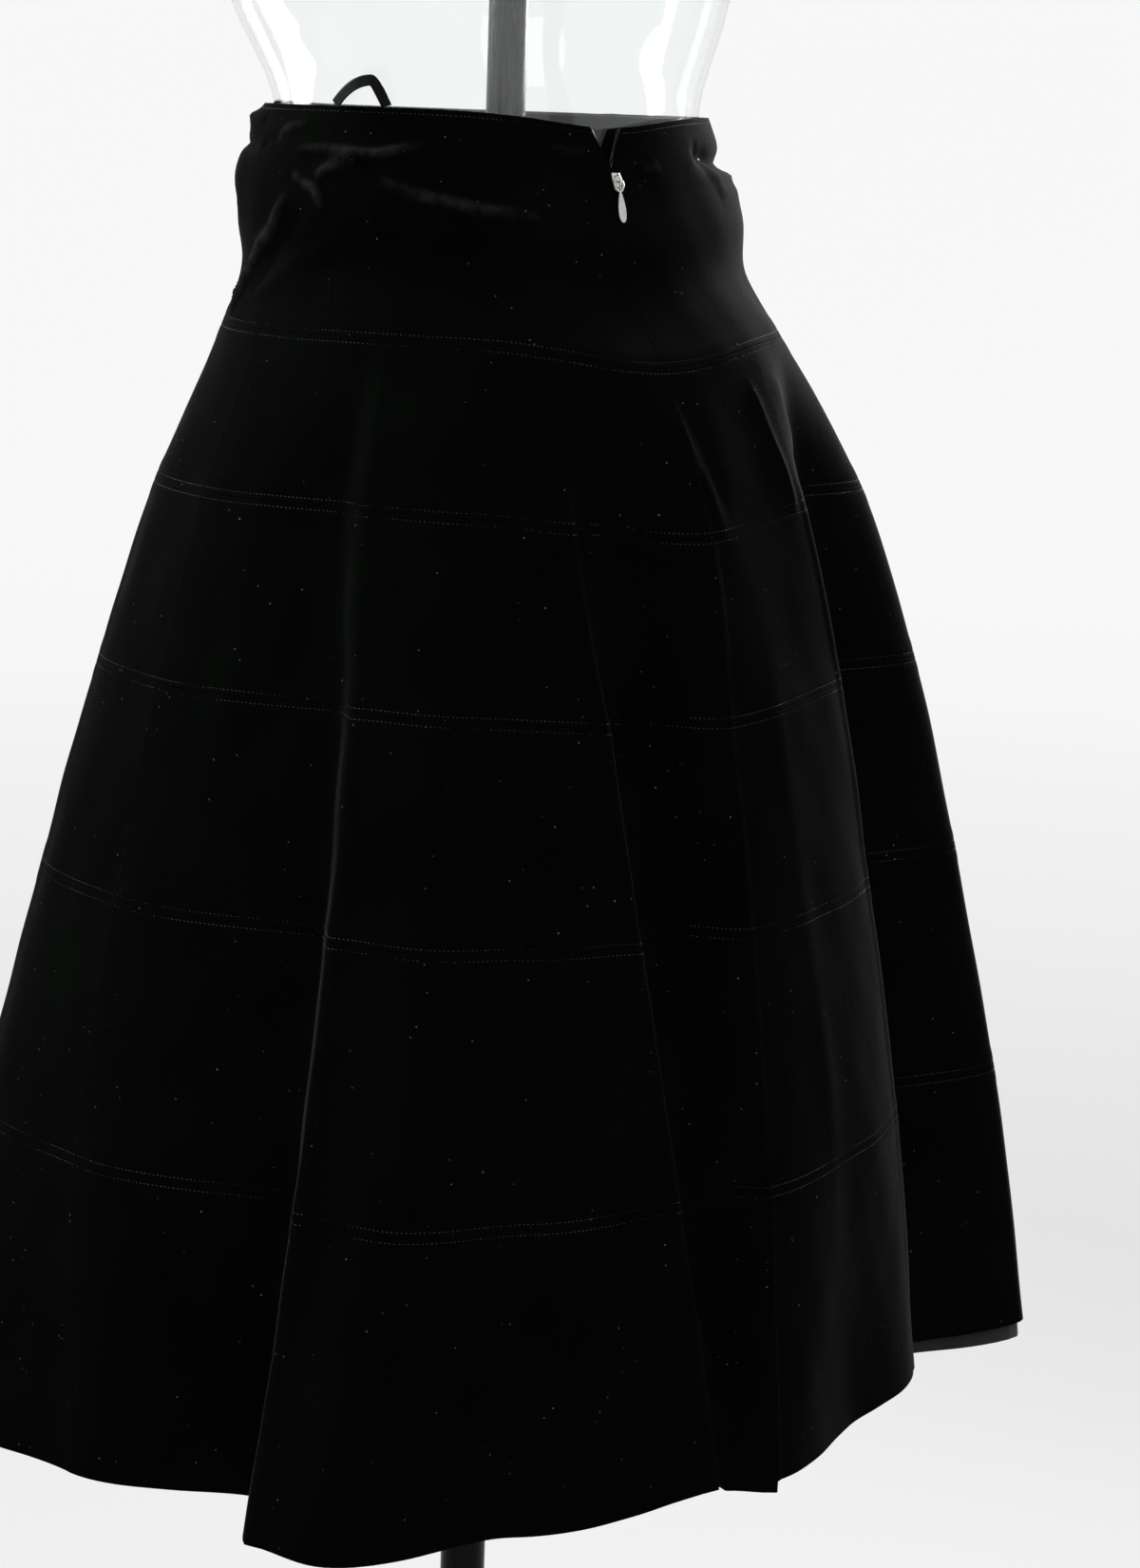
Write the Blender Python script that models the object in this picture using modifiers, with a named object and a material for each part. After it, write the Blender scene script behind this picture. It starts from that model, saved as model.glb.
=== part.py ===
"""Velvet skater skirt with a high yoke and five bands, on a clear limbless dress form.

Metres, +Z up. The origin is the centre of the stand's base, on the floor.
The front faces -Y, the wearer's left side is +X and the zip at the centre back is +Y.
"""
import math

import bmesh
import bpy
from mathutils import Matrix, Vector

COLLECTION_NAME = "skater_skirt_on_dress_form"
CUTTER_COLLECTION = "cutters"

# Cloth
WAIST_HEIGHT = 1.05
SEAM_GAP = 0.0003
VELVET_WALL = 0.0020
LINING_WALL = 0.0010
TAPE_WALL = 0.0010
FEWEST_STEPS = 3
COLUMN_ANGLE = 6.0
ROWS_PER_BAND = 2
COLUMN_MARGIN = 0.3
PLACE_STEP = 0.02
DROP_STEP = 0.001

# Each level of the skirt, down from the waist edge: half widths of the smooth ring,
# its shift towards the back, and how far the cloth sags beside the zip.
LEVEL_COLUMNS = ("name", "drop", "half_width", "half_depth", "shift", "sag")
LEVELS = (
    ("waist_edge", 0.000, 0.1170, 0.0950, -0.011, 0.006),
    ("puff", 0.030, 0.1310, 0.1060, -0.012, 0.008),
    ("lower_puff", 0.048, 0.1345, 0.1090, -0.007, 0.009),
    ("pinch", 0.074, 0.1310, 0.1110, -0.003, 0.010),
    ("yoke_seam", 0.103, 0.1420, 0.1270, 0.004, 0.011),
    ("seam_1", 0.178, 0.1690, 0.1560, 0.005, 0.012),
    ("seam_2", 0.266, 0.1920, 0.1800, 0.005, 0.008),
    ("seam_3", 0.366, 0.2130, 0.2030, 0.004, 0.003),
    ("seam_4", 0.486, 0.2350, 0.2260, 0.003, 0.001),
    ("hem", 0.631, 0.2500, 0.2420, 0.002, 0.000),
)
SEAM_NAMES = ("yoke_seam", "seam_1", "seam_2", "seam_3", "seam_4", "hem")

# Each fold line, anticlockwise from above: its angle at five levels, in degrees from +X,
# and how far it stands outside the smooth ring at the last four of them.
FOLD_LEVELS = ("yoke_seam", "seam_1", "seam_2", "seam_4", "hem")
FOLD_COLUMNS = (
    "name", "angle_yoke", "angle_1", "angle_2", "angle_4", "angle_hem",
    "out_1", "out_2", "out_4", "out_hem",
)
FOLDS = (
    ("left_front_valley", -66, -66, -66, -66, -66, -0.006, -0.012, -0.026, -0.034),
    ("left_ridge", -34, -32, -30, -28, -24, 0.004, 0.008, 0.020, 0.034),
    ("left_side_seam", -6, -7, -7, -4, 0, 0.001, 0.002, 0.006, 0.004),
    ("left_side_valley", 20, 20, 23, 24, 21, -0.008, -0.014, -0.018, -0.028),
    ("flute_a_edge", 25, 26, 28, 28, 26, 0.002, 0.002, 0.012, 0.024),
    ("flute_a_crest", 38, 40, 41, 39, 34, 0.005, 0.008, 0.026, 0.036),
    ("flute_a_face", 48, 49, 50, 53, 52, 0.003, 0.004, 0.008, -0.006),
    ("flute_a_right_edge", 56, 58, 63, 72, 80.5, 0.005, 0.001, -0.010, -0.031),
    ("back_recess", 66, 68, 73, 78, 84, -0.020, -0.038, -0.033, -0.036),
    ("centre_back_seam", 82, 86, 87, 85.5, 89, -0.002, -0.010, -0.010, -0.024),
    ("panel_b_middle", 103, 104, 107, 108, 111, -0.007, -0.012, -0.020, -0.036),
    ("panel_b_edge", 112, 116, 121, 128, 136, -0.004, -0.010, -0.019, -0.018),
    ("panel_b_valley", 128, 130, 135, 140, 143, -0.017, -0.023, -0.032, -0.030),
    ("flute_c_ridge", 148, 148, 150, 151, 152, 0.018, 0.030, 0.046, 0.060),
    ("right_side_seam", 184, 184, 184, 184, 184, -0.007, -0.014, -0.028, -0.036),
    ("right_front_ridge", 210, 210, 210, 210, 210, 0.008, 0.014, 0.030, 0.040),
    ("right_front_valley", 232, 232, 232, 232, 232, -0.007, -0.014, -0.026, -0.034),
    ("front_ridge", 258, 258, 258, 258, 258, 0.008, 0.014, 0.032, 0.042),
    ("front_valley", 274, 274, 274, 274, 274, -0.005, -0.010, -0.022, -0.030),
)
SAG_ANGLE = 82.0
SAG_SPREAD = 26.0

# The yoke's left seam stands a little behind the bands' side seam.
YOKE_LEFT_ANGLE = 12.0
YOKE_DROPS = (0.0, 0.014, 0.032, 0.052, 0.076, 0.103)

# Opening at the top of the zip
OPENING_DEPTH = 0.018
OPENING_LEFT = 0.0095
OPENING_RIGHT = 0.0105
OPENING_SPREAD = 30.0

# Lining
LINING_INSET = VELVET_WALL + SEAM_GAP
LINING_HANG = 0.0004
LINING_SHORTER = 0.010
LINING_LOWER = 0.019
LINING_LOW_ANGLE = 150.0
LINING_LOW_SPREAD = 13.0
LINING_END_STEP = 0.004
LINING_HEM_STEP = 0.01

# Zip
TAPE_SHARE_LEFT = 1.0
TAPE_SHARE_RIGHT = 0.6
TAPE_SHORTER = 0.003
TAPE_CENTRE_GAP = 0.0012
TAPE_BUMP_END = 16.0
TAPE_BUMP_FADE = 5.0
ZIP_FRAME_STEP = 0.01
SLIDER_DROP = 0.0235
SLIDER_WIDTH = 0.0050
SLIDER_LENGTH = 0.0085
SLIDER_THICKNESS = 0.0022
SLIDER_LOWER_SHARE = 0.72
SLIDER_BEVEL = 0.0006
BAIL_RADIUS = 0.0005
BAIL_RISE = 0.0026
BAIL_SINK = 0.0006
BAIL_REACH_SHARE = 0.36
BAIL_FULLNESS = 0.6
BAIL_STEPS = 8
LINK_TUBE_RADIUS = 0.0006
LINK_HALF_WIDTH = 0.0024
LINK_LENGTH = 0.0052
# The link's outline: shares of its half width and of its length
LINK_OUTLINE = (
    (-1.0, 0.0), (1.0, 0.0), (1.0, -0.45), (0.6, -0.85), (0.0, -1.0), (-0.6, -0.85), (-1.0, -0.45),
)
PULL_LENGTH = 0.0150
PULL_HALF_WIDTH = 0.0026
PULL_THICKNESS = 0.0012
PULL_STAND_OFF = 0.0011
PULL_TOP_SHARE = 0.42
PULL_WIDENING = 0.75
PULL_STEPS = 20
WELD_DISTANCE = 0.00002

# Hanger loop
LOOP_ANGLES = (9.2, 22.3)
LOOP_RISE = 0.0115
LOOP_WIDTH = 0.0050
LOOP_THICKNESS = 0.0010
LOOP_LEAN = 0.60
LOOP_INSET = 0.0010
LOOP_LIFT = 0.0004
LOOP_STEPS = 14

# Dress form: height above the waist edge, half widths and shift towards the back
FORM_WALL = 0.0030
FORM_COLUMNS = ("name", "height", "half_width", "half_depth", "shift")
FORM_RINGS = (
    ("lower_rim", -0.255, 0.1400, 0.1120, 0.004),
    ("hip", -0.170, 0.1480, 0.1240, 0.004),
    ("high_hip", -0.105, 0.1340, 0.1110, 0.002),
    ("pinch", -0.080, 0.1262, 0.1015, -0.003),
    ("under_waist", -0.040, 0.1180, 0.0935, -0.009),
    ("waist", 0.000, 0.1133, 0.0893, -0.0112),
    ("ribs", 0.051, 0.1325, 0.1050, -0.019),
    ("chest", 0.150, 0.1530, 0.1170, -0.022),
    ("upper_chest", 0.245, 0.1600, 0.1050, -0.014),
    ("shoulder", 0.325, 0.1450, 0.0800, -0.004),
    ("neck_root", 0.378, 0.0800, 0.0600, 0.000),
    ("neck_top", 0.425, 0.0540, 0.0500, 0.000),
)
FORM_COLUMNS_HALF = 18
FORM_SEAM_RADIUS = 0.1

# Stand
BASE_RADIUS = 0.160
# The base's upper face, from its middle out: radius and height
BASE_PROFILE = (
    (0.000, 0.014), (0.030, 0.014), (0.042, 0.010), (0.112, 0.008), (0.158, 0.006), (0.160, 0.004),
)
LOWER_POLE_RADIUS = 0.0115
UPPER_POLE_RADIUS = 0.0095
POLE_JOINT_HEIGHT = 0.620
COLLAR_RADIUS = 0.0180
COLLAR_LENGTH = 0.028
COLLAR_EDGE = 0.002
# The neck cap's upper face, from its middle out: radius and height above its underside
CAP_PROFILE = ((0.0, 0.016), (0.0308, 0.014), (0.0493, 0.010), (0.056, 0.004))
ROUND_SEGMENTS = 32


def clear_scene():
    """Remove the objects that are in the scene."""
    for obj in list(bpy.data.objects):
        bpy.data.objects.remove(obj, do_unlink=True)


def make_collection(name):
    """A new collection under the scene."""
    collection = bpy.data.collections.new(name)
    bpy.context.scene.collection.children.link(collection)
    return collection


def make_material(name, colour, roughness, metallic=0.0, alpha=1.0):
    """A plain finish for one sub-part."""
    material = bpy.data.materials.new(name)
    material.use_nodes = True
    shader = material.node_tree.nodes["Principled BSDF"]
    shader.inputs["Base Color"].default_value = (*colour, 1.0)
    shader.inputs["Roughness"].default_value = roughness
    shader.inputs["Metallic"].default_value = metallic
    shader.inputs["Alpha"].default_value = alpha
    return material


def column(rows, names, name):
    """One named column of a table."""
    index = names.index(name)
    return [row[index] for row in rows]


def ease_table(x, xs, ys):
    """Smooth curve through a table's points, level with its ends beyond them."""
    if x <= xs[0]:
        return ys[0]
    if x >= xs[-1]:
        return ys[-1]
    slopes = [(ys[i + 1] - ys[i]) / (xs[i + 1] - xs[i]) for i in range(len(xs) - 1)]
    i = max(k for k in range(len(slopes)) if xs[k] <= x)
    width = xs[i + 1] - xs[i]
    start = slopes[i] if i == 0 else 0.5 * (slopes[i - 1] + slopes[i])
    end = slopes[i] if i == len(slopes) - 1 else 0.5 * (slopes[i] + slopes[i + 1])
    t = (x - xs[i]) / width
    return (
        ys[i] * (1 + 2 * t) * (1 - t) ** 2
        + ys[i + 1] * t * t * (3 - 2 * t)
        + width * (start * t * (1 - t) ** 2 - end * t * t * (1 - t))
    )


def level_drop(name):
    """How far a named level is below the waist edge."""
    index = column(LEVELS, LEVEL_COLUMNS, "name").index(name)
    return LEVELS[index][LEVEL_COLUMNS.index("drop")]


def level_value(drop, name):
    """A value of the smooth ring at any drop."""
    return ease_table(drop, column(LEVELS, LEVEL_COLUMNS, "drop"), column(LEVELS, LEVEL_COLUMNS, name))


def fold_value(fold, drop, kind):
    """A fold line's angle or its distance outside the smooth ring at any drop."""
    drops = [level_drop(name) for name in FOLD_LEVELS]
    if kind == "angle":
        values = [fold[FOLD_COLUMNS.index(f"angle_{key}")] for key in ("yoke", "1", "2", "4", "hem")]
    else:
        values = [0.0] + [fold[FOLD_COLUMNS.index(f"out_{key}")] for key in ("1", "2", "4", "hem")]
    return ease_table(drop, drops, values)


def fold_place(place, drop):
    """Angle and outward distance at a place among the folds: 2.5 is midway from fold 2 to fold 3."""
    count = len(FOLDS)
    index = math.floor(place)
    part = place - index
    first = FOLDS[index % count]
    second = FOLDS[(index + 1) % count]
    angle_1 = fold_value(first, drop, "angle") + 360 * (index // count)
    angle_2 = fold_value(second, drop, "angle") + 360 * ((index + 1) // count)
    out_1 = fold_value(first, drop, "out")
    out_2 = fold_value(second, drop, "out")
    blend = part * part * (3 - 2 * part)
    return angle_1 + (angle_2 - angle_1) * part, out_1 + (out_2 - out_1) * blend


def fold_index(name):
    """Place of a named fold line."""
    return column(FOLDS, FOLD_COLUMNS, "name").index(name)


def place_at_angle(angle, drop):
    """Place among the folds whose angle is the one asked for."""
    low, high = 0.0, float(len(FOLDS))
    for _ in range(40):
        middle = 0.5 * (low + high)
        if fold_place(middle, drop)[0] < angle:
            low = middle
        else:
            high = middle
    return 0.5 * (low + high)


def ring_radius(angle, half_width, half_depth):
    """Radius of an ellipse at an angle in degrees."""
    turn = math.radians(angle)
    return half_width * half_depth / math.hypot(half_depth * math.cos(turn), half_width * math.sin(turn))


def sag_at(angle, drop):
    """How far the cloth hangs lower beside the zip."""
    return level_value(drop, "sag") * math.exp(-(((angle - SAG_ANGLE) / SAG_SPREAD) ** 2))


def cloth_point(place, drop, slide=0.0):
    """A point of the skirt's outer face. Slide moves it along the ring, in metres."""
    angle, out = fold_place(place, drop)
    half_width = level_value(drop, "half_width")
    half_depth = level_value(drop, "half_depth")
    angle += math.degrees(slide / (ring_radius(angle, half_width, half_depth) + out))
    radius = ring_radius(angle, half_width, half_depth) + out
    turn = math.radians(angle)
    height = WAIST_HEIGHT - drop - sag_at(angle % 360, drop)
    return Vector((radius * math.cos(turn), radius * math.sin(turn) + level_value(drop, "shift"), height))


def cloth_normal(place, drop, slide=0.0):
    """The way out of the cloth at a point."""
    across = cloth_point(place + PLACE_STEP, drop, slide) - cloth_point(place - PLACE_STEP, drop, slide)
    upper = max(drop - DROP_STEP, 0.0)
    lower = min(drop + DROP_STEP, level_drop("hem"))
    down = cloth_point(place, lower, slide) - cloth_point(place, upper, slide)
    return down.cross(across).normalized()


def add_object(name, mesh, collection, material):
    """Put a mesh in the scene as one named sub-part."""
    obj = bpy.data.objects.new(name, mesh)
    obj.data.materials.append(material)
    collection.objects.link(obj)
    return obj


def shade(obj, degrees=40.0):
    """Smooth shading with sharp edges past an angle."""
    obj.data.shade_smooth()
    obj.data.set_sharp_from_angle(angle=math.radians(degrees))


def wall_mesh(name, outer, inner):
    """One closed wall between two grids of points: rows top to bottom, columns anticlockwise.

    Every square is split along the same diagonal, so layers that follow each other stay apart.
    """
    rows = len(outer)
    columns = len(outer[0])
    mesh = bpy.data.meshes.new(name)
    bm = bmesh.new()
    out_verts = [[bm.verts.new(point) for point in row] for row in outer]
    in_verts = [[bm.verts.new(point) for point in row] for row in inner]
    for verts, outward in ((out_verts, True), (in_verts, False)):
        for i in range(rows - 1):
            for j in range(columns - 1):
                a, b = verts[i][j], verts[i][j + 1]
                c, d = verts[i + 1][j + 1], verts[i + 1][j]
                for corners in ((a, d, c), (a, c, b)):
                    bm.faces.new(corners if outward else corners[::-1])
    for j in range(columns - 1):
        bm.faces.new((out_verts[0][j], out_verts[0][j + 1], in_verts[0][j + 1], in_verts[0][j]))
        bm.faces.new((out_verts[-1][j + 1], out_verts[-1][j], in_verts[-1][j], in_verts[-1][j + 1]))
    for i in range(rows - 1):
        bm.faces.new((out_verts[i + 1][0], out_verts[i][0], in_verts[i][0], in_verts[i + 1][0]))
        bm.faces.new((out_verts[i][-1], out_verts[i + 1][-1], in_verts[i + 1][-1], in_verts[i][-1]))
    bmesh.ops.recalc_face_normals(bm, faces=bm.faces)
    bm.to_mesh(mesh)
    bm.free()
    return mesh


def steps_in(index):
    """How many columns a panel has from one fold line to the next."""
    angles = [fold_place(index + step, 0.0)[0] for step in (0, 1)]
    return max(FEWEST_STEPS, round((angles[1] - angles[0]) / COLUMN_ANGLE))


def spread_places(start, end):
    """Places from one panel edge to the other, with a column on each fold line between."""
    places = [start]
    for index in range(math.floor(start), math.ceil(end)):
        count = steps_in(index)
        inner = [index + step / count for step in range(count)]
        margin = COLUMN_MARGIN / count
        places += [place for place in inner if start + margin < place < end - margin]
    return places + [end]


def spread(start, end, steps):
    """Evenly spaced values, both ends among them."""
    return [start + (end - start) * i / steps for i in range(steps + 1)]


def half_seam_slides(count):
    """Slides that pull a panel's two end columns half a seam gap back."""
    return [0.5 * SEAM_GAP] + [0.0] * (count - 2) + [-0.5 * SEAM_GAP]


def opening_slide(place, drop, side):
    """How far the yoke is drawn back beside the open top of the zip."""
    if drop >= OPENING_DEPTH:
        return 0.0
    width = OPENING_LEFT if side < 0 else OPENING_RIGHT
    away = abs(fold_place(place, drop)[0] - fold_place(fold_index("centre_back_seam"), drop)[0])
    return side * width * (1 - drop / OPENING_DEPTH) * max(0.0, 1 - away / OPENING_SPREAD)


def cloth_panel(name, places, drops, insets, collection, material, side=0):
    """A panel of cloth between two edges and two levels. Insets are its outer and inner faces."""
    slides = half_seam_slides(len(places))
    grids = ([], [])
    for drop in drops:
        for grid in grids:
            grid.append([])
        for place, slide in zip(places, slides):
            slide += opening_slide(place, drop, side) if side else 0.0
            point = cloth_point(place, drop, slide)
            normal = cloth_normal(place, drop, slide)
            for grid, inset in zip(grids, insets(place, drop)):
                grid[-1].append(point - normal * inset)
    shade(add_object(name, wall_mesh(name, *grids), collection, material))


def velvet_insets(_place, _drop):
    """Outer and inner faces of the velvet."""
    return 0.0, VELVET_WALL


def tape_bump(place, drop):
    """1 beside the zip, falling to 0 past its tapes."""
    away = abs(fold_place(place, drop)[0] - fold_place(fold_index("centre_back_seam"), drop)[0])
    return max(0.0, min(1.0, (TAPE_BUMP_END - away) / TAPE_BUMP_FADE))


def lining_insets(place, drop):
    """Outer and inner faces of the lining, which passes inside the zip tapes."""
    inset = LINING_INSET + (TAPE_WALL + SEAM_GAP) * tape_bump(place, drop)
    return inset, inset + LINING_WALL


def panel_edges():
    """Places of the three long seams: left side, centre back and right side."""
    left = fold_index("left_side_seam")
    back = fold_index("centre_back_seam")
    right = fold_index("right_side_seam")
    return left, back, right


def make_yoke(collection, velvet, satin):
    """The high yoke and its lining, in three panels each, open at the top of the zip."""
    _, back, right = panel_edges()
    left = place_at_angle(YOKE_LEFT_ANGLE, 0.0)
    half = 0.5 * SEAM_GAP
    drops = list(YOKE_DROPS[:-1]) + [YOKE_DROPS[-1] - half]
    panels = (
        ("back_left", left, back, -1),
        ("back_right", back, right, 1),
        ("front", right, left + len(FOLDS), 0),
    )
    for key, start, end, side in panels:
        places = spread_places(start, end)
        cloth_panel(f"yoke_{key}", places, drops, velvet_insets, collection, velvet, side)
        cloth_panel(f"yoke_lining_{key}", places, drops, lining_insets, collection, satin, side)


def band_levels():
    """Upper and lower drop of each band, half a seam gap in from its seams."""
    half = 0.5 * SEAM_GAP
    levels = []
    for upper, lower in zip(SEAM_NAMES, SEAM_NAMES[1:]):
        end = level_drop(lower) - (half if lower != "hem" else 0.0)
        levels.append((level_drop(upper) + half, end))
    return levels


def make_bands(collection, velvet):
    """Five bands below the yoke, each a front and two backs."""
    left, back, right = panel_edges()
    panels = (
        ("back_left", left, back),
        ("back_right", back, right),
        ("front", right, left + len(FOLDS)),
    )
    for number, (top, bottom) in enumerate(band_levels(), start=1):
        drops = spread(top, bottom, ROWS_PER_BAND)
        for key, start, stop in panels:
            places = spread_places(start, stop)
            cloth_panel(f"band_{number}_{key}", places, drops, velvet_insets, collection, velvet)


def lining_hem(place):
    """Drop of the lining's hem: short all round, but for one stretch that hangs below the velvet."""
    angle = fold_place(place, level_drop("hem"))[0]
    away = (angle - LINING_LOW_ANGLE) / LINING_LOW_SPREAD
    return level_drop("hem") - LINING_SHORTER + LINING_LOWER * math.exp(-away * away)


def lining_point(place, drop, inset):
    """A point of the lining skirt, carried straight on below the velvet's hem."""
    hem = level_drop("hem")
    point = cloth_point(place, min(drop, hem)) - cloth_normal(place, min(drop, hem)) * inset
    if drop > hem:
        upper = hem - LINING_HEM_STEP
        above = cloth_point(place, upper) - cloth_normal(place, upper) * inset
        point += (point - above) * ((drop - hem) / LINING_HEM_STEP)
    return point


def make_lining_skirt(collection, satin):
    """The satin lining below the yoke, a front and a back."""
    left, _, right = panel_edges()
    rows = [drop for top, bottom in band_levels() for drop in spread(top, bottom, ROWS_PER_BAND)[:-1]]
    for key, start, stop in (("back", left, right), ("front", right, left + len(FOLDS))):
        places = spread_places(start, stop)
        places[0] += LINING_END_STEP
        places[-1] -= LINING_END_STEP
        grids = ([], [])
        for drop in rows + [None]:
            for grid in grids:
                grid.append([])
            for place in places:
                level = lining_hem(place) if drop is None else drop
                for grid, inset in zip(grids, lining_insets(place, level)):
                    grid[-1].append(lining_point(place, level, inset + LINING_HANG))
        name = f"lining_skirt_{key}"
        shade(add_object(name, wall_mesh(name, *grids), collection, satin))


def tape_point(outer_place, share, drop, inset, side):
    """A point of a tape, on the flat between the zip's edge and the next column of the velvet."""
    back = fold_index("centre_back_seam")
    ends = []
    for place, slide in ((back, side * TAPE_CENTRE_GAP / 2), (outer_place, 0.0)):
        slide += opening_slide(place, drop, side)
        ends.append(cloth_point(place, drop, slide) - cloth_normal(place, drop, slide) * inset)
    return ends[0].lerp(ends[1], share)


def make_tapes(collection, tape):
    """The zip's two tapes, inside the velvet and outside the lining."""
    back = fold_index("centre_back_seam")
    top, bottom = band_levels()[0]
    drops = list(YOKE_DROPS) + [0.5 * (top + bottom), bottom - TAPE_SHORTER]
    tapes = (("left", -1, (TAPE_SHARE_LEFT, 0.0)), ("right", 1, (0.0, TAPE_SHARE_RIGHT)))
    for key, side, shares in tapes:
        outer_place = back + side / steps_in(back if side > 0 else back - 1)
        grids = [
            [[tape_point(outer_place, share, drop, inset, side) for share in shares] for drop in drops]
            for inset in (LINING_INSET, LINING_INSET + TAPE_WALL)
        ]
        name = f"zip_tape_{key}"
        shade(add_object(name, wall_mesh(name, *grids), collection, tape))


def zip_frame():
    """The slider's place: x along the ring, y up the seam, z out of the cloth."""
    back = fold_index("centre_back_seam")
    origin = cloth_point(back, SLIDER_DROP)
    out = cloth_normal(back, SLIDER_DROP)
    above = cloth_point(back, SLIDER_DROP - ZIP_FRAME_STEP)
    below = cloth_point(back, SLIDER_DROP + ZIP_FRAME_STEP)
    across = (above - below).cross(out).normalized()
    up = out.cross(across).normalized()
    matrix = Matrix((across, up, out)).transposed().to_4x4()
    matrix.translation = origin
    return matrix


def curve_to_mesh(name, points, radius, collection, material, cyclic=False):
    """A round wire through a few points, as a closed mesh."""
    curve = bpy.data.curves.new(name, "CURVE")
    curve.dimensions = "3D"
    curve.bevel_depth = radius
    curve.bevel_resolution = 2
    curve.use_fill_caps = not cyclic
    spline = curve.splines.new("POLY")
    spline.points.add(len(points) - 1)
    for target, point in zip(spline.points, points):
        target.co = (*point, 1.0)
    spline.use_cyclic_u = cyclic
    source = bpy.data.objects.new(name + "_wire", curve)
    collection.objects.link(source)
    bpy.context.view_layer.update()
    evaluated = source.evaluated_get(bpy.context.evaluated_depsgraph_get())
    mesh = bpy.data.meshes.new_from_object(evaluated)
    bpy.data.objects.remove(source, do_unlink=True)
    bm = bmesh.new()
    bm.from_mesh(mesh)
    bmesh.ops.remove_doubles(bm, verts=bm.verts, dist=WELD_DISTANCE)
    bmesh.ops.recalc_face_normals(bm, faces=bm.faces)
    bm.to_mesh(mesh)
    bm.free()
    mesh.materials.clear()
    return add_object(name, mesh, collection, material)


def join_with(target, other, cutters):
    """Fuse another solid into a target."""
    for holder in list(other.users_collection):
        holder.objects.unlink(other)
    cutters.objects.link(other)
    other.hide_render = True
    other.display_type = "WIRE"
    modifier = target.modifiers.new("join", "BOOLEAN")
    modifier.operation = "UNION"
    modifier.solver = "EXACT"
    modifier.object = other


def make_slider(collection, cutters, metal):
    """The slider's body with its bail, just outside the closed seam."""
    frame = zip_frame()
    mesh = bpy.data.meshes.new("zip_slider")
    bm = bmesh.new()
    bmesh.ops.create_cube(bm, size=1.0)
    bmesh.ops.scale(bm, vec=(SLIDER_WIDTH, SLIDER_LENGTH, SLIDER_THICKNESS), verts=bm.verts)
    middle = SLIDER_THICKNESS / 2 + SEAM_GAP
    bmesh.ops.translate(bm, vec=(0, 0, middle), verts=bm.verts)
    for vert in bm.verts:
        if vert.co.y < 0:
            vert.co.x *= SLIDER_LOWER_SHARE
    bm.to_mesh(mesh)
    bm.free()
    slider = add_object("zip_slider", mesh, collection, metal)
    slider.matrix_world = frame
    bevel = slider.modifiers.new("edges", "BEVEL")
    bevel.width = SLIDER_BEVEL
    bevel.segments = 2
    face = SEAM_GAP + SLIDER_THICKNESS
    reach = SLIDER_LENGTH * BAIL_REACH_SHARE
    points = []
    for turn in spread(0.0, math.pi, BAIL_STEPS):
        rise = (BAIL_RISE + BAIL_SINK) * abs(math.sin(turn)) ** BAIL_FULLNESS
        points.append((0.0, reach * math.cos(turn), face - BAIL_SINK + rise))
    bail = curve_to_mesh("zip_bail", points, BAIL_RADIUS, collection, metal)
    bail.matrix_world = frame
    join_with(slider, bail, cutters)


def pull_axis_height():
    """Height of the pull's hinge above the cloth."""
    return SEAM_GAP + SLIDER_THICKNESS + SEAM_GAP + LINK_TUBE_RADIUS


def teardrop():
    """Outline of the pull, its narrow end at the top, from y = 0 down."""
    points = []
    for turn in spread(0.0, 2 * math.pi, PULL_STEPS)[:-1]:
        share = 0.5 * (1 - math.cos(turn))
        half = PULL_HALF_WIDTH * math.sin(turn) * (PULL_TOP_SHARE + PULL_WIDENING * share)
        points.append((half, -PULL_LENGTH * share))
    return points


def make_pull(collection, cutters, metal):
    """The link through the bail and the teardrop pull, hanging on the hinge."""
    frame = zip_frame()
    frame.translation = frame @ Vector((0, 0, pull_axis_height()))
    tilt = (PULL_STAND_OFF + PULL_THICKNESS / 2 - pull_axis_height()) / (LINK_LENGTH + PULL_LENGTH)
    points = []
    for across, down in LINK_OUTLINE:
        points.append((across * LINK_HALF_WIDTH, down * LINK_LENGTH, -down * LINK_LENGTH * tilt))
    link = curve_to_mesh("zip_pull", points, LINK_TUBE_RADIUS, collection, metal, cyclic=True)
    link.matrix_world = frame
    curve = bpy.data.curves.new("zip_tab", "CURVE")
    curve.dimensions = "2D"
    curve.fill_mode = "BOTH"
    curve.extrude = PULL_THICKNESS / 2
    spline = curve.splines.new("POLY")
    outline = teardrop()
    spline.points.add(len(outline) - 1)
    for target, (x, y) in zip(spline.points, outline):
        target.co = (x, y, 0.0, 1.0)
    spline.use_cyclic_u = True
    source = bpy.data.objects.new("zip_tab_outline", curve)
    collection.objects.link(source)
    bpy.context.view_layer.update()
    evaluated = source.evaluated_get(bpy.context.evaluated_depsgraph_get())
    mesh = bpy.data.meshes.new_from_object(evaluated)
    bpy.data.objects.remove(source, do_unlink=True)
    bm = bmesh.new()
    bm.from_mesh(mesh)
    bmesh.ops.remove_doubles(bm, verts=bm.verts, dist=WELD_DISTANCE)
    bmesh.ops.recalc_face_normals(bm, faces=bm.faces)
    start = -(LINK_LENGTH - LINK_TUBE_RADIUS)
    bmesh.ops.rotate(bm, matrix=Matrix.Rotation(-math.atan(tilt), 3, "X"), verts=bm.verts)
    bmesh.ops.translate(bm, vec=(0, start, -start * tilt), verts=bm.verts)
    bm.to_mesh(mesh)
    bm.free()
    mesh.materials.clear()
    tab = add_object("zip_tab", mesh, collection, metal)
    tab.matrix_world = frame
    join_with(link, tab, cutters)


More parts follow.
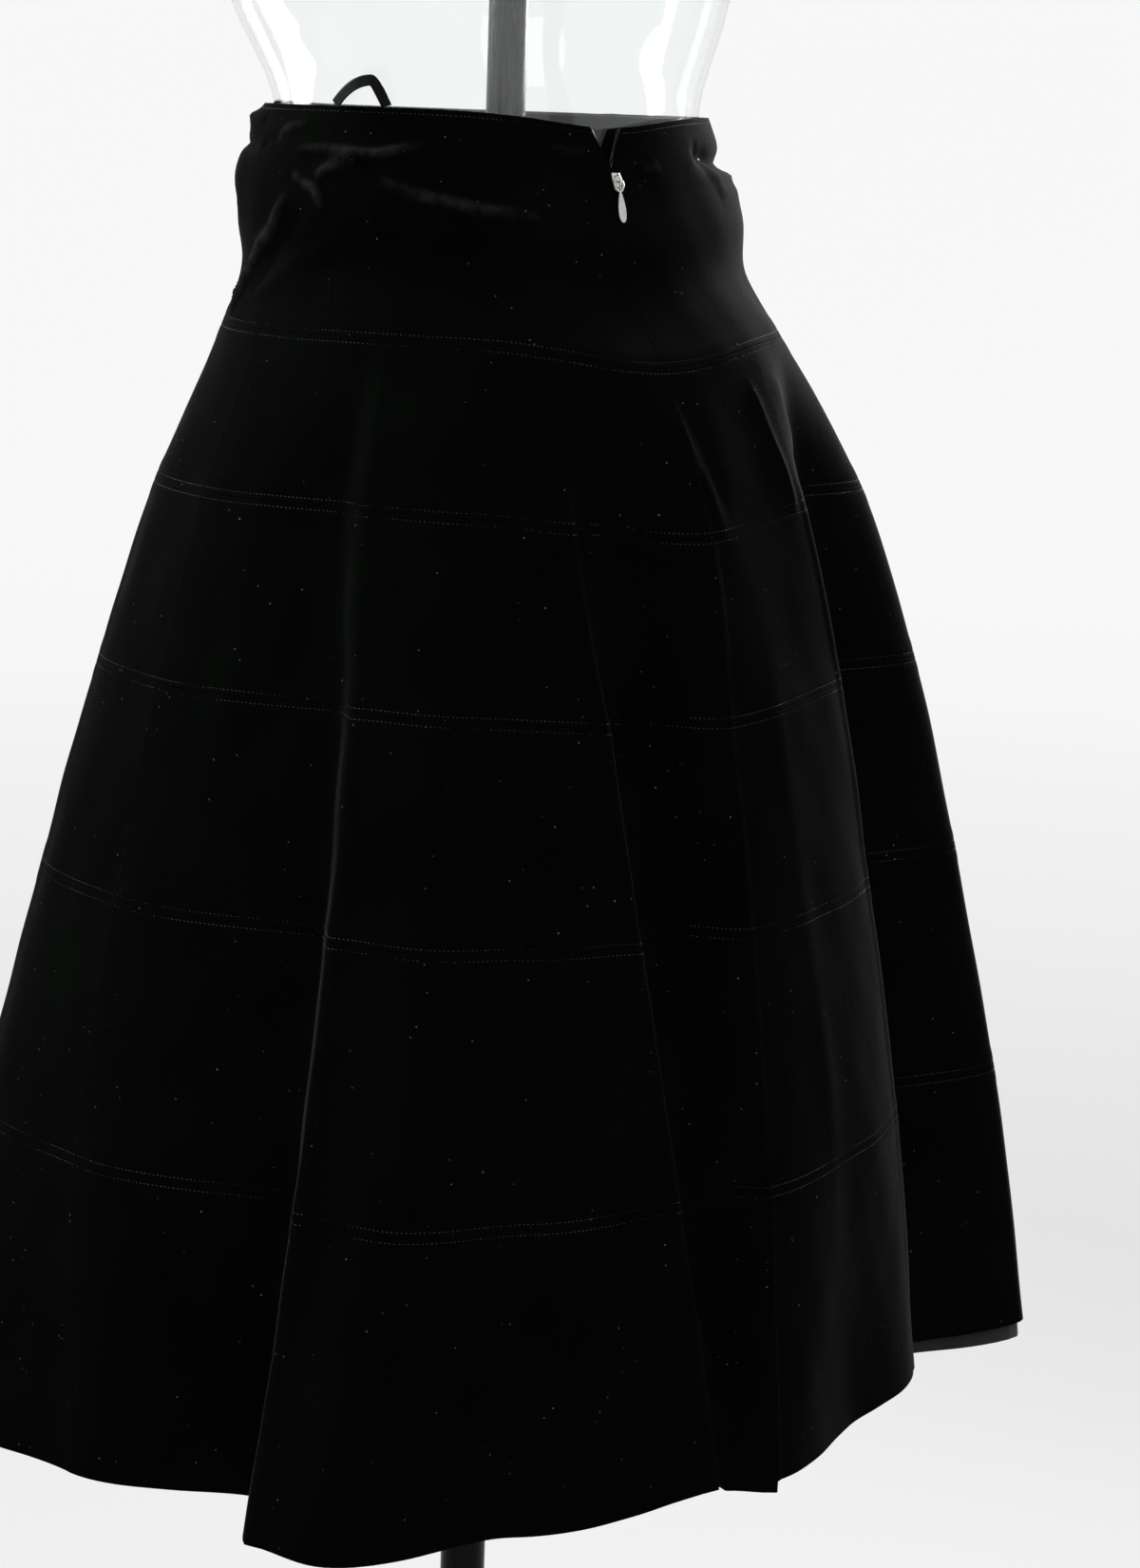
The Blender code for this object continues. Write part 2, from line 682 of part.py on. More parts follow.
def make_loop(collection, satin):
    """The ribbon loop that stands above the waist edge at the wearer's left."""
    start, end = (place_at_angle(angle, 0.0) for angle in LOOP_ANGLES)
    grids = ([], [])
    rows = []
    for share in spread(0.0, 1.0, LOOP_STEPS):
        place = start + (end - start) * (0.5 - 0.5 * math.cos(math.pi * share))
        rise = LOOP_LIFT + LOOP_RISE * math.sin(math.pi * share)
        base = cloth_point(place, 0.0)
        out = Vector((base.x, base.y - level_value(0.0, "shift"), 0.0)).normalized()
        rows.append((base + Vector((0, 0, rise)) + out * (LOOP_LEAN * rise - LOOP_INSET), out))
    for index, (centre, out) in enumerate(rows):
        before = rows[max(index - 1, 0)][0]
        after = rows[min(index + 1, LOOP_STEPS)][0]
        along = (after - before).normalized()
        if index in (0, LOOP_STEPS):
            along = Vector((0, 0, 1 if index == 0 else -1))
        width = along.cross(out).normalized()
        for grid, side in zip(grids, (1, -1)):
            shift = out * (side * LOOP_THICKNESS / 2)
            grid.append([centre + shift + width * (LOOP_WIDTH * (0.5 - k)) for k in (0, 0.5, 1)])
    shade(add_object("hanger_loop", wall_mesh("hanger_loop", *grids), collection, satin))


def form_point(angle, height, inset=0.0):
    """A point of the dress form at an angle in degrees and a height above the waist edge."""
    heights = column(FORM_RINGS, FORM_COLUMNS, "height")
    half_width = ease_table(height, heights, column(FORM_RINGS, FORM_COLUMNS, "half_width"))
    half_depth = ease_table(height, heights, column(FORM_RINGS, FORM_COLUMNS, "half_depth"))
    shift = ease_table(height, heights, column(FORM_RINGS, FORM_COLUMNS, "shift"))
    radius = ring_radius(angle, half_width, half_depth) - inset
    turn = math.radians(angle)
    return Vector((radius * math.cos(turn), radius * math.sin(turn) + shift, WAIST_HEIGHT + height))


def make_form(collection, clear):
    """The clear torso shell, moulded in a back half and a front half."""
    heights = column(FORM_RINGS, FORM_COLUMNS, "height")
    rows = [heights[-1]]
    for upper, lower in zip(heights[::-1], heights[-2::-1]):
        rows += [0.5 * (upper + lower), lower]
    edge = math.degrees(0.5 * SEAM_GAP / FORM_SEAM_RADIUS)
    for key, start in (("back", 0.0), ("front", 180.0)):
        angles = spread(start + edge, start + 180.0 - edge, FORM_COLUMNS_HALF)
        outer = [[form_point(angle, height) for angle in angles] for height in rows]
        inner = [[form_point(angle, height, FORM_WALL) for angle in angles] for height in rows]
        name = f"form_{key}"
        shade(add_object(name, wall_mesh(name, outer, inner), collection, clear))


def make_turned(name, profile, collection, material):
    """A turned piece from a profile of radius and height, listed top to bottom."""
    mesh = bpy.data.meshes.new(name)
    bm = bmesh.new()
    verts = [bm.verts.new((radius, 0.0, height)) for radius, height in profile]
    for first, second in zip(verts, verts[1:]):
        bm.edges.new((first, second))
    bm.to_mesh(mesh)
    bm.free()
    obj = add_object(name, mesh, collection, material)
    screw = obj.modifiers.new("turn", "SCREW")
    screw.steps = ROUND_SEGMENTS
    screw.render_steps = ROUND_SEGMENTS
    screw.use_merge_vertices = True
    screw.merge_threshold = WELD_DISTANCE
    screw.use_smooth_shade = True


def make_pole(name, radius, bottom, top, collection, metal):
    """A straight pole on the stand's axis."""
    mesh = bpy.data.meshes.new(name)
    bm = bmesh.new()
    bmesh.ops.create_cone(
        bm, cap_ends=True, segments=ROUND_SEGMENTS, radius1=radius, radius2=radius, depth=top - bottom
    )
    bm.to_mesh(mesh)
    bm.free()
    obj = add_object(name, mesh, collection, metal)
    obj.location = (0.0, 0.0, 0.5 * (bottom + top))
    shade(obj)


def make_stand(collection, metal, cap_finish):
    """Base, two poles, the collar at their joint and the cap at the neck."""
    base = list(BASE_PROFILE) + [(BASE_RADIUS, 0.0), (0.0, 0.0)]
    make_turned("stand_base", base, collection, metal)
    bottom = BASE_PROFILE[0][1] + SEAM_GAP
    make_pole("stand_pole_lower", LOWER_POLE_RADIUS, bottom, POLE_JOINT_HEIGHT, collection, metal)
    cap_bottom = WAIST_HEIGHT + column(FORM_RINGS, FORM_COLUMNS, "height")[-1] + SEAM_GAP
    bottom = POLE_JOINT_HEIGHT + SEAM_GAP
    make_pole("stand_pole_upper", UPPER_POLE_RADIUS, bottom, cap_bottom - SEAM_GAP, collection, metal)
    low = POLE_JOINT_HEIGHT - COLLAR_LENGTH / 2
    high = POLE_JOINT_HEIGHT + COLLAR_LENGTH / 2
    bore = LOWER_POLE_RADIUS + SEAM_GAP
    collar = [
        (bore, high), (COLLAR_RADIUS - COLLAR_EDGE, high), (COLLAR_RADIUS, high - COLLAR_EDGE),
        (COLLAR_RADIUS, low + COLLAR_EDGE), (COLLAR_RADIUS - COLLAR_EDGE, low), (bore, low), (bore, high),
    ]
    make_turned("stand_collar", collar, collection, metal)
    cap = [(radius, cap_bottom + rise) for radius, rise in CAP_PROFILE]
    cap += [(CAP_PROFILE[-1][0], cap_bottom), (0.0, cap_bottom)]
    make_turned("form_neck_cap", cap, collection, cap_finish)


def main():
    """Build every piece of the skirt and its stand."""
    clear_scene()
    collection = make_collection(COLLECTION_NAME)
    cutters = make_collection(CUTTER_COLLECTION)
    velvet = make_material("black_velvet", (0.004, 0.006, 0.004), 0.9)
    satin = make_material("black_satin", (0.010, 0.010, 0.012), 0.35)
    tape = make_material("zip_tape_cloth", (0.030, 0.031, 0.034), 0.8)
    silver = make_material("silver_metal", (0.62, 0.61, 0.60), 0.3, metallic=1.0)
    clear = make_material("clear_acrylic", (0.93, 0.95, 0.96), 0.05, alpha=0.25)
    steel = make_material("dark_steel", (0.045, 0.045, 0.05), 0.35, metallic=1.0)
    make_yoke(collection, velvet, satin)
    make_bands(collection, velvet)
    make_lining_skirt(collection, satin)
    make_tapes(collection, tape)
    make_slider(collection, cutters, silver)
    make_pull(collection, cutters, silver)
    make_loop(collection, satin)
    make_form(collection, clear)
    make_stand(collection, steel, clear)


main()
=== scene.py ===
"""Looks of the black velvet skater skirt on its clear dress form.

Metres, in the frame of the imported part: +Z up, front at -Y, wearer's left at +X, zip at +Y.
"""

import math

import bmesh
import bpy
import numpy as np
from bpy.props import FloatProperty, FloatVectorProperty, IntProperty, PointerProperty
from mathutils import Matrix, Vector


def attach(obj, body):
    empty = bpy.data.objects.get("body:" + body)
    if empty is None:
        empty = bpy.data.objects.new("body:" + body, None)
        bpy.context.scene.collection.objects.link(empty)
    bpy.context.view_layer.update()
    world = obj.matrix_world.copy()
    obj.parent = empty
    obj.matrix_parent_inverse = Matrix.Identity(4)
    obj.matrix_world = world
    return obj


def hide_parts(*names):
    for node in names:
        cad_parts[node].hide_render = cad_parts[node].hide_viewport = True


bl_info = {
    "name": "Velvet skater skirt",
    "version": (1, 0, 0),
    "blender": (4, 5, 0),
    "location": "3D View > Sidebar > Skirt",
    "description": "Builds a velvet skirt, its zip, lining and clear dress form round the packed part",
    "category": "Object",
}

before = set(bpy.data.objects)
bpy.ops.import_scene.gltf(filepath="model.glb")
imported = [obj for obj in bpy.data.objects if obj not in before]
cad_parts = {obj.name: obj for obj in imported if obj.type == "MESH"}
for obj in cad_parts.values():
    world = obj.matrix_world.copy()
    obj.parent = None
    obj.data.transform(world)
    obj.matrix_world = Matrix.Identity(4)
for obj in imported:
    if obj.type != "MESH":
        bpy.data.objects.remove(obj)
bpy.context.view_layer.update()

BODY = "skirt_and_stand"

# Each level of the skirt, down from the waist edge: half widths of the smooth ring,
# its shift towards the back, and how far the cloth sags beside the zip.
LEVEL_COLUMNS = ("name", "drop", "half_width", "half_depth", "shift", "sag")
LEVELS = (
    ("waist_edge", 0.000, 0.1170, 0.0950, -0.011, 0.006),
    ("puff", 0.030, 0.1310, 0.1060, -0.012, 0.008),
    ("lower_puff", 0.048, 0.1345, 0.1090, -0.007, 0.009),
    ("pinch", 0.074, 0.1310, 0.1110, -0.003, 0.010),
    ("yoke_seam", 0.103, 0.1420, 0.1270, 0.004, 0.011),
    ("seam_1", 0.178, 0.1690, 0.1560, 0.005, 0.012),
    ("seam_2", 0.266, 0.1920, 0.1800, 0.005, 0.008),
    ("seam_3", 0.366, 0.2130, 0.2030, 0.004, 0.003),
    ("seam_4", 0.486, 0.2350, 0.2260, 0.003, 0.001),
    ("hem", 0.631, 0.2500, 0.2420, 0.002, 0.000),
)
SEAM_NAMES = ("yoke_seam", "seam_1", "seam_2", "seam_3", "seam_4", "hem")

# Each fold line, anticlockwise from above: its name, its angle at five levels in degrees from +X,
# and how far it stands outside the smooth ring at the last four of them.
FOLD_LEVELS = ("yoke_seam", "seam_1", "seam_2", "seam_4", "hem")
FOLDS = (
    ("left_front_valley", -66, -66, -66, -66, -66, -0.006, -0.012, -0.026, -0.034),
    ("left_ridge", -34, -32, -30, -28, -24, 0.004, 0.008, 0.020, 0.034),
    ("left_side_seam", -6, -7, -7, -4, 0, 0.001, 0.002, 0.006, 0.004),
    ("left_side_valley", 20, 20, 23, 24, 21, -0.008, -0.014, -0.018, -0.028),
    ("flute_a_edge", 25, 26, 28, 28, 26, 0.002, 0.002, 0.012, 0.024),
    ("flute_a_crest", 38, 40, 41, 39, 34, 0.005, 0.008, 0.026, 0.036),
    ("flute_a_face", 48, 49, 50, 53, 52, 0.003, 0.004, 0.008, -0.006),
    ("flute_a_right_edge", 56, 58, 63, 72, 80.5, 0.005, 0.001, -0.010, -0.031),
    ("recess_wall", 58, 60.5, 65.5, 74, 82, -0.012, -0.028, -0.027, -0.036),
    ("back_recess", 67, 70, 74, 78, 84, -0.020, -0.038, -0.034, -0.038),
    ("centre_back_seam", 82, 86, 87, 85.5, 89, -0.002, -0.010, -0.010, -0.024),
    ("panel_b_middle", 103, 104, 107, 108, 111, -0.007, -0.012, -0.020, -0.036),
    ("panel_b_edge", 112, 116, 121, 128, 136, -0.004, -0.010, -0.019, -0.018),
    ("panel_b_valley", 128, 130, 135, 140, 143, -0.017, -0.023, -0.032, -0.030),
    ("flute_c_ridge", 148, 148, 150, 151, 152, 0.018, 0.030, 0.046, 0.060),
    ("right_side_seam", 184, 184, 184, 184, 184, -0.007, -0.014, -0.028, -0.036),
    ("right_front_ridge", 210, 210, 210, 210, 210, 0.008, 0.014, 0.030, 0.040),
    ("right_front_valley", 232, 232, 232, 232, 232, -0.007, -0.014, -0.026, -0.034),
    ("front_ridge", 258, 258, 258, 258, 258, 0.008, 0.014, 0.032, 0.042),
    ("front_valley", 274, 274, 274, 274, 274, -0.005, -0.010, -0.022, -0.030),
)
SAG_ANGLE = 82.0
SAG_SPREAD = 26.0
YOKE_LEFT_ANGLE = 12.0

# Listed creases: name, height, width and points. Height is how far the cloth stands out
# (minus for a trough) and width how far that reaches to each side, in millimetres. Points are
# degrees from +X and millimetres below the waist edge.
YOKE_CREASES = (
    ("upper_tuck", 3.0, 2.2, ((3.1, 19.7), (12.8, 19.7), (22.6, 20.7), (27.5, 18.8), (33.6, 14.8))),
    ("under_upper_tuck", -1.4, 3.0, ((5, 24.5), (13, 25.5), (23, 25.5), (31, 22))),
    ("tuck_facet", 2.7, 2.5, ((18.0, 20.7), (12.8, 27.6), (10.5, 33.6))),
    ("lower_tuck", 3.0, 2.2, ((4.2, 30.6), (7.5, 35.5), (10.2, 38.5), (11.6, 48.4))),
    ("waist_pinch", 2.6, 2.0, ((-3.4, 17.8), (-2.3, 11.8), (4.2, 8.9))),
    ("waist_pinch_low", -1.8, 2.6, ((-10, 19), (-5, 16), (-1, 17))),
    ("long_crease", 2.6, 3.0, (
        (24.5, 31.6), (27.6, 35.5), (32.2, 38.5), (37.5, 40.5), (43.6, 42.5), (52.0, 43.6), (60.0, 43.4),
    )),
    ("tuck_face", 1.4, 4.2, ((20.0, 23), (16.0, 26), (13.0, 31))),
    ("under_long_crease", -1.1, 4.0, ((25, 37), (32, 44.5), (43, 48))),
    ("soft_diagonal", 1.4, 4.5, ((17.0, 55.3), (8.4, 65.2), (0.7, 72.1), (-5.2, 82.0), (-14.1, 89.9))),
    ("side_fold", 4.2, 2.4, ((3.1, 39.5), (-2.9, 55.3), (-11.1, 67.1), (-20.0, 85.9), (-24.4, 99.7))),
    ("beside_side_fold", -1.8, 4.0, ((8, 44), (2, 58), (-5, 70), (-14, 88))),
    ("right_tuck", -6.6, 5.5, ((116, 14), (126, 19), (137, 20.5), (150, 20.5), (163, 16))),
    ("right_tuck_edge", 1.6, 2.4, ((121.5, 9), (122.2, 16), (124, 21), (129, 26))),
    ("right_tuck_lip", 2.2, 2.6, ((122, 27), (131, 27.5), (143, 28), (158, 25))),
    ("left_roll", 4.2, 4.2, ((-66, 7), (-50, 8), (-38, 8), (-27, 7.5), (-14, 9))),
    ("left_notch", -3.0, 3.0, ((-60, 17), (-47, 17.5), (-36, 17.5), (-22, 19), (-10, 21))),
    ("left_pinch", -2.6, 8.0, ((-58, 44), (-44, 46), (-32, 47), (-20, 48))),
    ("right_puff", 1.6, 6.0, ((124, 33), (137, 36), (152, 34))),
    ("zip_crease", 1.0, 2.0, ((64.6, 10.9), (69.9, 11.8), (79.0, 8.9))),
    ("small_crease", 1.0, 2.0, ((91.6, 18.8), (99.5, 18.8))),
    ("right_hip_diagonal", 1.3, 5.0, ((168, 50), (178, 62), (187, 74), (196, 90))),
    ("front_tuck", 1.6, 2.6, ((197, 20), (205, 22), (216, 19.5))),
    ("under_front_tuck", -1.2, 3.2, ((198, 26), (207, 28), (217, 25))),
    ("front_crease", 1.4, 3.2, ((222, 30), (232, 35), (246, 38), (259, 36))),
    ("front_diagonal", 1.1, 4.5, ((264, 50), (279, 60), (293, 74))),
    ("left_front_crease", 1.3, 3.2, ((296, 25), (303, 30), (311, 33))),
    ("left_front_trough", -1.2, 5.0, ((302, 37), (314, 45), (329, 50))),
)
SKIRT_CREASES = (
    ("recess_ridge", 2.4, 4.5, ((72.4, 118), (71.9, 140), (71.2, 168))),
    ("seam_ridge", 1.8, 3.5, ((81.0, 122), (84.8, 141), (87.4, 159), (89.5, 182))),
    ("beside_seam_ridge", -1.4, 4.0, ((84.5, 116), (88.4, 140), (91.5, 170))),
    ("panel_b_top_ridge", 2.0, 3.0, (
        (106.1, 117.5), (108.0, 129.4), (109.8, 146.1), (111.9, 163.9), (112.6, 182.7),
    )),
    ("panel_b_second_ridge", 1.4, 4.0, ((117, 118), (120, 136), (122, 158))),
    ("inner_fold", 2.5, 3.0, ((80.4, 330), (79.6, 420), (79.4, 508), (79.0, 570))),
    ("flute_a_soft", 1.2, 9.0, ((45, 128), (44, 200), (44, 270))),
    ("flute_a_trough", -1.0, 9.0, ((34, 300), (36, 400), (38, 500))),
    ("panel_b_soft", 1.2, 8.0, ((98, 230), (99, 370), (102, 520))),
    ("left_soft", 1.2, 9.0, ((5, 150), (6, 250), (8, 360))),
    ("left_valley_soft", -1.2, 7.0, ((-46, 130), (-45, 240), (-44, 380))),
    ("front_soft", 1.7, 10.0, ((243, 140), (245, 260), (247, 400))),
    ("right_side_soft", -1.5, 8.0, ((196, 120), (197, 220), (199, 340))),
    ("front_left_soft", 1.4, 8.0, ((287, 130), (285, 240), (283, 360))),
    ("flute_c_soft", 1.3, 7.0, ((163, 140), (165, 240), (167, 380))),
)

# Opening at the top of the zip
OPENING_DEPTH = 0.018
OPENING_LEFT = 0.0095
OPENING_RIGHT = 0.0105
OPENING_SPREAD = 30.0

# Lining
LINING_HANG = 0.0004
LINING_SHORTER = 0.010
LINING_LOWER = 0.019
LINING_LOW_ANGLE = 150.0
LINING_LOW_SPREAD = 13.0
LINING_HEM_STEP = 0.01
LINING_END_STEP = 0.004
LINING_ROW = 0.008
LINING_COLUMN = 0.009
YOKE_LINING_COLUMN = 0.006

# Zip
TAPE_WALL = 0.0010
TAPE_BUMP_END = 16.0
TAPE_BUMP_FADE = 5.0
TAPE_WIDTHS = {"left": 0.0115, "right": 0.0110}
TAPE_ROWS = 60
TAPE_COLUMNS = 8
TAPE_SHOWN = {"left": 0.0032, "right": -0.0022}
TAPE_SHORTER = 0.003
TAPE_CENTRE_GAP = 0.0012
TAPE_TOP = 0.0006
TAPE_FINE_END = 0.03
TAPE_FINE_ROWS = 24
SLIDER_DROP = 0.0235
COIL_TOP = 0.0022
COIL_END = 0.004
COIL_PITCH = 0.0011
COIL_OUTER = 0.0014
COIL_INNER = 0.0001
COIL_RADIUS = 0.00042

# The hem of the left back panel hangs lower next to the centre back seam
HEM_DROOP = 0.0055
HEM_DROOP_PLACES = 2.2

# Grid of the cloth
CLOTH_COLUMN = 0.0045
CLOTH_ROW = 0.0042
EDGE_STEPS = (0.0, 0.0002, 0.0005, 0.0009, 0.0014, 0.0019, 0.0023, 0.0027, 0.0034, 0.0046, 0.0064)
YOKE_ROW = 0.0017
YOKE_COLUMN = 0.0026
EDGE_SAMPLES = 4001
SEWN_GAP = 0.0001
EDGE_ROUND_SHARE = 0.3

# Dress form: height above the waist edge, half widths and shift towards the back
FORM_WALL = 0.0030
FORM_COLUMNS = ("name", "height", "half_width", "half_depth", "shift")
FORM_RINGS = (
    ("lower_rim", -0.255, 0.1400, 0.1120, 0.004),
    ("hip", -0.170, 0.1480, 0.1240, 0.004),
    ("high_hip", -0.105, 0.1340, 0.1110, 0.002),
    ("pinch", -0.080, 0.1262, 0.1015, -0.003),
    ("under_waist", -0.040, 0.1180, 0.0935, -0.009),
    ("waist", 0.000, 0.1133, 0.0893, -0.0112),
    ("ribs", 0.051, 0.1325, 0.1050, -0.019),
    ("chest", 0.150, 0.1530, 0.1170, -0.022),
    ("upper_chest", 0.245, 0.1600, 0.1050, -0.014),
    ("shoulder", 0.325, 0.1450, 0.0800, -0.004),
    ("neck_root", 0.378, 0.0800, 0.0600, 0.000),
    ("neck_top", 0.425, 0.0540, 0.0500, 0.000),
)
FORM_ROW = 0.0098
FORM_COLUMN_ANGLE = 1.875
FORM_SPINE_ANGLE = 84.0
FORM_SPINE_DEPTH = 0.0016
FORM_SPINE_SPREAD = 3.2
FORM_LIP_RISE = 0.0006
FORM_LIP_SPREAD = 1.8
FORM_SEAM_START = (0.006, 0.03)
STAND_EDGE = 0.0004

# Hanger loop
LOOP_ANGLES = (9.2, 22.3)
LOOP_RISE = 0.0115
LOOP_LEAN = 0.60
LOOP_INSET = 0.0010
LOOP_LIFT = 0.0004
LOOP_STEPS = 48
RIBBON_WIDTH = 0.0050
RIBBON_COLUMNS = 9
RIBBON_CURL = 0.0003
RIBBON_HALF_WALL = 0.0004


def metres(label, text, default, low, high):
    """A setting in metres."""
    return FloatProperty(
        name=label, description=text, default=default, min=low, max=high,
        subtype="DISTANCE", unit="LENGTH",
    )


def factor(label, text, default, high):
    """A setting that multiplies something."""
    return FloatProperty(
        name=label, description=text, default=default, min=0.0, max=high, subtype="FACTOR",
    )


def degrees(label, text, angle):
    """A setting given in degrees."""
    return FloatProperty(
        name=label, description=text, default=math.radians(angle), subtype="ANGLE", unit="ROTATION",
    )


def colour(label, text, default):
    """A setting that is a colour."""
    return FloatVectorProperty(
        name=label, description=text, default=default, min=0.0, max=1.0, subtype="COLOR",
    )


class SkirtSizes(bpy.types.PropertyGroup):
    """Sizes of the cloth and its sewing."""

    waist_height: metres("Waist height", "Height of the waist edge above the floor", 1.05, 0.9, 1.2)
    velvet_wall: metres("Velvet thickness", "Thickness with the pile", 0.0020, 0.001, 0.003)
    lining_wall: metres("Lining thickness", "Thickness as it is built", 0.0010, 0.0005, 0.002)
    seam_gap: metres("Seam gap", "Space left between two sewn pieces", 0.0003, 0.0001, 0.001)
    crease_strength: factor("Crease strength", "How much of each crease's height is made", 1.0, 2.0)
    ripple: metres("Ripple", "Height of the small ripples all over the cloth", 0.00045, 0.0, 0.002)
    stitch_pitch: metres("Stitch pitch", "From one topstitch to the next", 0.0021, 0.0015, 0.005)
    stitch_length: metres("Stitch length", "Length of one topstitch that shows", 0.0012, 0.0008, 0.004)
    thread_radius: metres("Thread radius", "Radius of the topstitching thread", 0.00021, 0.0001, 0.0006)
    stitch_offset: metres("Stitch row offset", "How far each row is from its seam", 0.0024, 0.001, 0.006)
    ripple_seed: IntProperty(
        name="Ripple seed", description="Picks the pattern of the small ripples",
        default=7, min=1, max=99,
    )


class SkirtColours(bpy.types.PropertyGroup):
    """Colours of the cloth, metal and plastic."""

    velvet: colour("Velvet", "Colour of the velvet's pile seen head on", (0.0006, 0.0009, 0.0006))
    # Painted highlight: a lighter colour laid on the crests of sharp creases, where crushed pile catches
    # the light.
    crease_highlight: colour("Crease highlight", "Colour of the pile at a crease", (0.0135, 0.0142, 0.0142))
    velvet_sheen: colour("Velvet sheen", "Colour of the light on the pile's edge", (0.80, 0.84, 0.82))
    satin: colour("Satin", "Colour of the lining and the hanger loop", (0.004, 0.0043, 0.0052))
    thread: colour("Thread", "Colour of the topstitching", (0.018, 0.019, 0.018))
    zip_tape: colour("Zip tape", "Colour of the zip's woven tape", (0.16, 0.163, 0.168))
    zip_metal: colour("Zip metal", "Colour of the slider and its pull", (0.52, 0.515, 0.50))
    clear_plastic: colour("Clear plastic", "Colour of the clear dress form", (0.97, 0.985, 0.98))
    stand: colour("Stand", "Colour of the lower pole and base", (0.0015, 0.0015, 0.0016))
    steel: colour("Steel", "Colour of the upper pole", (0.085, 0.086, 0.09))
    floor: colour("Floor", "Colour of the floor and backdrop", (0.15, 0.15, 0.149))


class SkirtStage(bpy.types.PropertyGroup):
    """Camera and light."""

    azimuth: degrees("Camera azimuth", "Direction of the camera round the skirt, from the front", 137.0)
    distance: metres("Camera distance", "Distance of the camera from the pole", 1.75, 0.5, 6.0)
    camera_rise: metres("Camera above waist", "Camera above the waist edge", 0.003, -1.0, 1.0)
    pitch: degrees("Camera tilt", "How far the camera looks down", 10.775)
    yaw: degrees("Camera turn", "How far the camera looks to the right of the pole", 1.385)
    roll: degrees("Camera roll", "How far the picture is turned clockwise", 1.96)
    lens: FloatProperty(
        name="Focal length", description="Focal length for a 36 mm long side, in millimetres",
        default=81.67, min=20.0, max=200.0,
    )
    light_power: factor("Light strength", "Strength of all the soft lights together", 1.0, 10.0)


def column(rows, names, name):
    """One named column of a table."""
    index = names.index(name)
    return np.array([row[index] for row in rows])


LEVEL_DROPS = column(LEVELS, LEVEL_COLUMNS, "drop")
LEVEL_VALUES = {key: column(LEVELS, LEVEL_COLUMNS, key) for key in LEVEL_COLUMNS[2:]}
FOLD_NAMES = [row[0] for row in FOLDS]
FOLD_ANGLES = np.array([row[1:6] for row in FOLDS], float)
FOLD_OUTS = np.array([(0.0, *row[6:]) for row in FOLDS], float)


def level_drop(name):
    """How far a named level is below the waist edge."""
    return LEVELS[[row[0] for row in LEVELS].index(name)][1]


FOLD_DROPS = np.array([level_drop(name) for name in FOLD_LEVELS])
HEM = level_drop("hem")


# Steps along the ring and down the cloth that give the way out of it
PLACE_STEP = 0.02
DROP_STEP = 0.001


def ease(x, xs, ys):
    """Smooth curve through a table's points, level with its ends beyond them."""
    xs = np.asarray(xs, float)
    ys = np.asarray(ys, float)
    slopes = np.diff(ys) / np.diff(xs)
    x = np.clip(x, xs[0], xs[-1])
    i = np.clip(np.searchsorted(xs, x, side="right") - 1, 0, len(slopes) - 1)
    ends = np.concatenate([slopes[:1], 0.5 * (slopes[:-1] + slopes[1:]), slopes[-1:]])
    width = np.diff(xs)[i]
    t = (x - xs[i]) / width
    value = ys[i] * (1 + 2 * t) * (1 - t) ** 2 + ys[i + 1] * t * t * (3 - 2 * t)
    return value + width * (ends[i] * t * (1 - t) ** 2 - ends[i + 1] * t * t * (1 - t))


def smooth_step(x, low, high):
    """0 below low, 1 above high, smooth between."""
    t = np.clip((x - low) / (high - low), 0.0, 1.0)
    return t * t * (3 - 2 * t)


def bell(x):
    """1 at 0, falling smoothly to 0 on both sides."""
    return np.exp(-(x**2))


def unit(vectors):
    """Vectors of length 1 in the same directions."""
    return vectors / np.linalg.norm(vectors, axis=-1, keepdims=True)


def run_along(points):
    """Distance of each point of a line from its start."""
    return np.concatenate([[0], np.cumsum(np.linalg.norm(np.diff(points, axis=0), axis=1))])


def level_value(drop, name):
    """A value of the smooth ring at any drop."""
    return ease(drop, LEVEL_DROPS, LEVEL_VALUES[name])


def fold_values(index, drop):
    """Angle and outward distance of the fold lines whose numbers are given, at any drop."""
    count = len(FOLDS)
    angle = np.zeros(index.shape)
    out = np.zeros(index.shape)
    for number in range(count):
        chosen = index % count == number
        if chosen.any():
            angle[chosen] = ease(drop[chosen], FOLD_DROPS, FOLD_ANGLES[number])
            out[chosen] = ease(drop[chosen], FOLD_DROPS, FOLD_OUTS[number])
    return angle + 360.0 * (index // count), out


def fold_place(place, drop):
    """Angle and outward distance at places among the folds: 2.5 is midway from fold 2 to fold 3."""
    place, drop = np.broadcast_arrays(np.asarray(place, float), np.asarray(drop, float))
    index = np.floor(place).astype(int)
    part = place - index
    angle_1, out_1 = fold_values(index, drop)
    angle_2, out_2 = fold_values(index + 1, drop)
    return angle_1 + (angle_2 - angle_1) * part, out_1 + (out_2 - out_1) * part * part * (3 - 2 * part)


def place_at_angle(angle, drop):
    """Places among the folds whose angles are the ones asked for."""
    angle, drop = np.broadcast_arrays(np.asarray(angle, float), np.asarray(drop, float))
    low = np.zeros(angle.shape)
    high = np.full(angle.shape, float(len(FOLDS)))
    for _ in range(40):
        middle = 0.5 * (low + high)
        below = fold_place(middle, drop)[0] < angle
        low = np.where(below, middle, low)
        high = np.where(below, high, middle)
    return 0.5 * (low + high)


def waist_level():
    """Height of the waist edge above the floor."""
    return bpy.context.scene.skirt_sizes.waist_height


def ring_radius(angle, half_width, half_depth):
    """Radius of an ellipse at an angle in degrees."""
    turn = np.radians(angle)
    return half_width * half_depth / np.hypot(half_depth * np.cos(turn), half_width * np.sin(turn))


